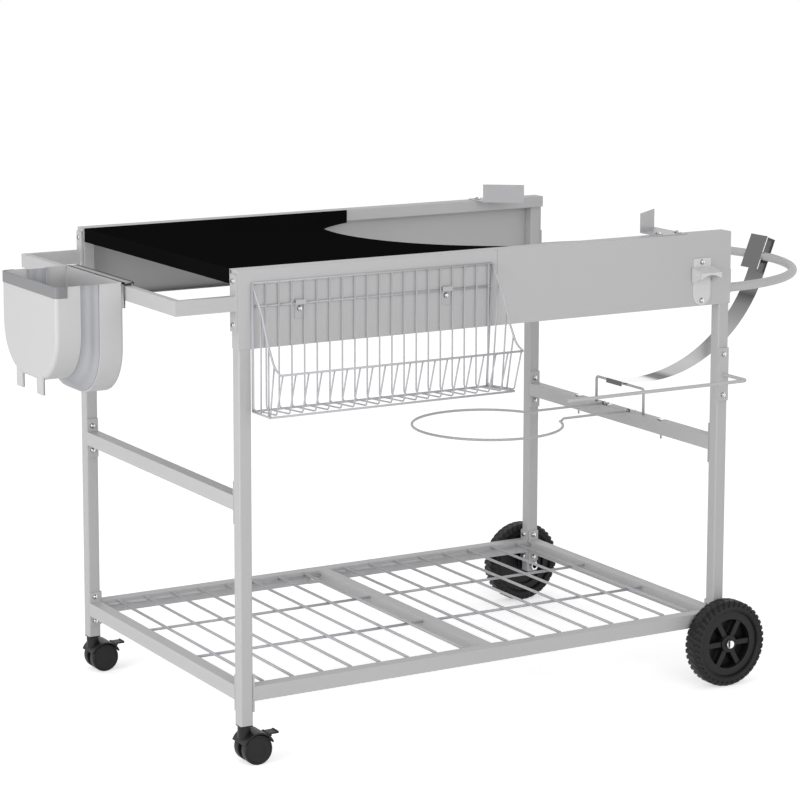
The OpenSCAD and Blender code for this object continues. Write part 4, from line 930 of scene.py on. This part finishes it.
# %% [markdown]
# The sleeve is soft and folds in when the bin is pushed flat, so its wall is drawn in by two
# shallow folds. It is one thin closed skin along the same U, tapering from the front shell's
# height to the rear's.

# %% Soft sleeve
SKIN = 1.2
MEM_LOW, MEM_HIGH = corners("bin_membrane")


def sleeve():
    """Depth inside the shells' wall = 2.45 + 0.55 * (1 - cos(4 pi s)), with s from end to end."""
    s = np.linspace(0, 1, 25)
    x = MEM_LOW[0] + (MEM_HIGH[0] - MEM_LOW[0]) * s
    dip = 2.45 + 0.55 * (1 - np.cos(2 * np.pi * 2 * s))
    outer = [(a, b, 0) for a, b in zip(x, dip)]
    inner = [(a, b + SKIN, 0) for a, b in zip(x, dip)][::-1]
    ends, heights = [MEM_LOW[0], MEM_HIGH[0]], [FRONT_H, REAR_H]
    return bin_sections(outer + inner, lambda at: np.interp(at, ends, heights))


points, faces = sleeve()
points[:, 2] = np.minimum(points[:, 2], MEM_HIGH[2])
membrane = add_piece("bin_sleeve", [(points, faces)], "bin_membrane")
crisp(membrane)
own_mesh(membrane)

# %% [markdown]
# A darker rim is clipped over the top edge of the outer shell, round the end face and a short
# way along both sides. It is one L-shaped profile carried along the edge in plan.

# %% Bin rim
RIM_LOW, RIM_HIGH = corners("bin_rim")


def rim():
    """The profile is (height, distance inwards); the path runs along one side, round the face and back."""
    w = BIN_W / 2
    edge = [(RIM_HIGH[0], BIN_Y - w), (OUT_X, BIN_Y - w), (OUT_X, BIN_Y + w), (RIM_HIGH[0], BIN_Y + w)]
    plan = rounded_path(edge, 7, 8)
    path = np.column_stack([plan, np.zeros(len(plan))])
    top, low = BIN_TOP + 0.4, RIM_LOW[2]
    profile = [(low, -0.02), (low, -0.7), (low + 0.3, -1), (top - 0.9, -1), (top - 0.25, -0.75), (top, -0.2),
               (top, 2.0), (top - 0.35, 2.3), (BIN_TOP + 0.02, 2.3), (BIN_TOP + 0.02, -0.02)]
    return [carried(profile, path, (0, 0, 1))]


crisp(add_piece("bin_clip_rim", rim(), "bin_rim"))

# %% [markdown]
# The bottle opener is pressed from one strip of steel: a plate with two bolts, and a hood bent
# out of it whose arched lip lifts the cap while a tooth below holds it. A bent sheet would need
# a fold for each edge, so it is built here from flat prisms in one mesh.

# %% Bottle opener
OPEN_LOW, OPEN_HIGH = corners("bottle_opener")
PLATE_R, PLATE_TOP, FOOT_Z, HOOD_HALF, HOOD_REACH, SHEET = 18, 762, 698, 22, 26.5, 1.8
FACE_Y, BACK_Y = -312.0, -310.1


def bottle_opener():
    """A plate with a round foot, and over it a hood: a sloping sheet, two cheeks, and a lip whose
    lower edge is the parabola z = 736 - 7 u^2, with u from -1 to 1 across it."""
    x0, reach = (OPEN_LOW[0] + OPEN_HIGH[0]) / 2, FACE_Y - HOOD_REACH
    a = np.radians(np.linspace(180, 360, 13))
    foot = np.stack([x0 + PLATE_R * np.cos(a), FOOT_Z + PLATE_R * np.sin(a)], 1)
    plate = prism(np.vstack([foot, [(x0 + PLATE_R, PLATE_TOP), (x0 - PLATE_R, PLATE_TOP)]]), FACE_Y, BACK_Y)
    slope = [(FACE_Y, 748), (reach, 740), (reach, 738), (FACE_Y, 746)]
    sheet = prism(slope, x0 - HOOD_HALF, x0 + HOOD_HALF, axis=0)
    cheek = [(FACE_Y, 747), (reach, 739), (reach, 731), (FACE_Y, 720)]
    cheeks = [prism(cheek, *sorted((x0 + s * (HOOD_HALF - SHEET), x0 + s * HOOD_HALF)), axis=0)
              for s in (-1, 1)]
    u = np.linspace(-1, 1, 15)
    edge = np.stack([x0 + HOOD_HALF * u, 736 - 7 * u ** 2], 1)
    lip_top = [(x0 + HOOD_HALF, 740), (x0 - HOOD_HALF, 740)]
    lip = prism(np.vstack([edge, lip_top]), FACE_Y - 27, FACE_Y - 25)
    bite = [(FACE_Y, 728), (FACE_Y - 6, 732), (FACE_Y - 7, 730), (FACE_Y, 724)]
    tooth = prism(bite, x0 - 7, x0 + 7, axis=0)
    return [plate, sheet, lip, tooth] + cheeks


crisp(add_piece("opener", bottle_opener(), "bottle_opener"), 0.4)
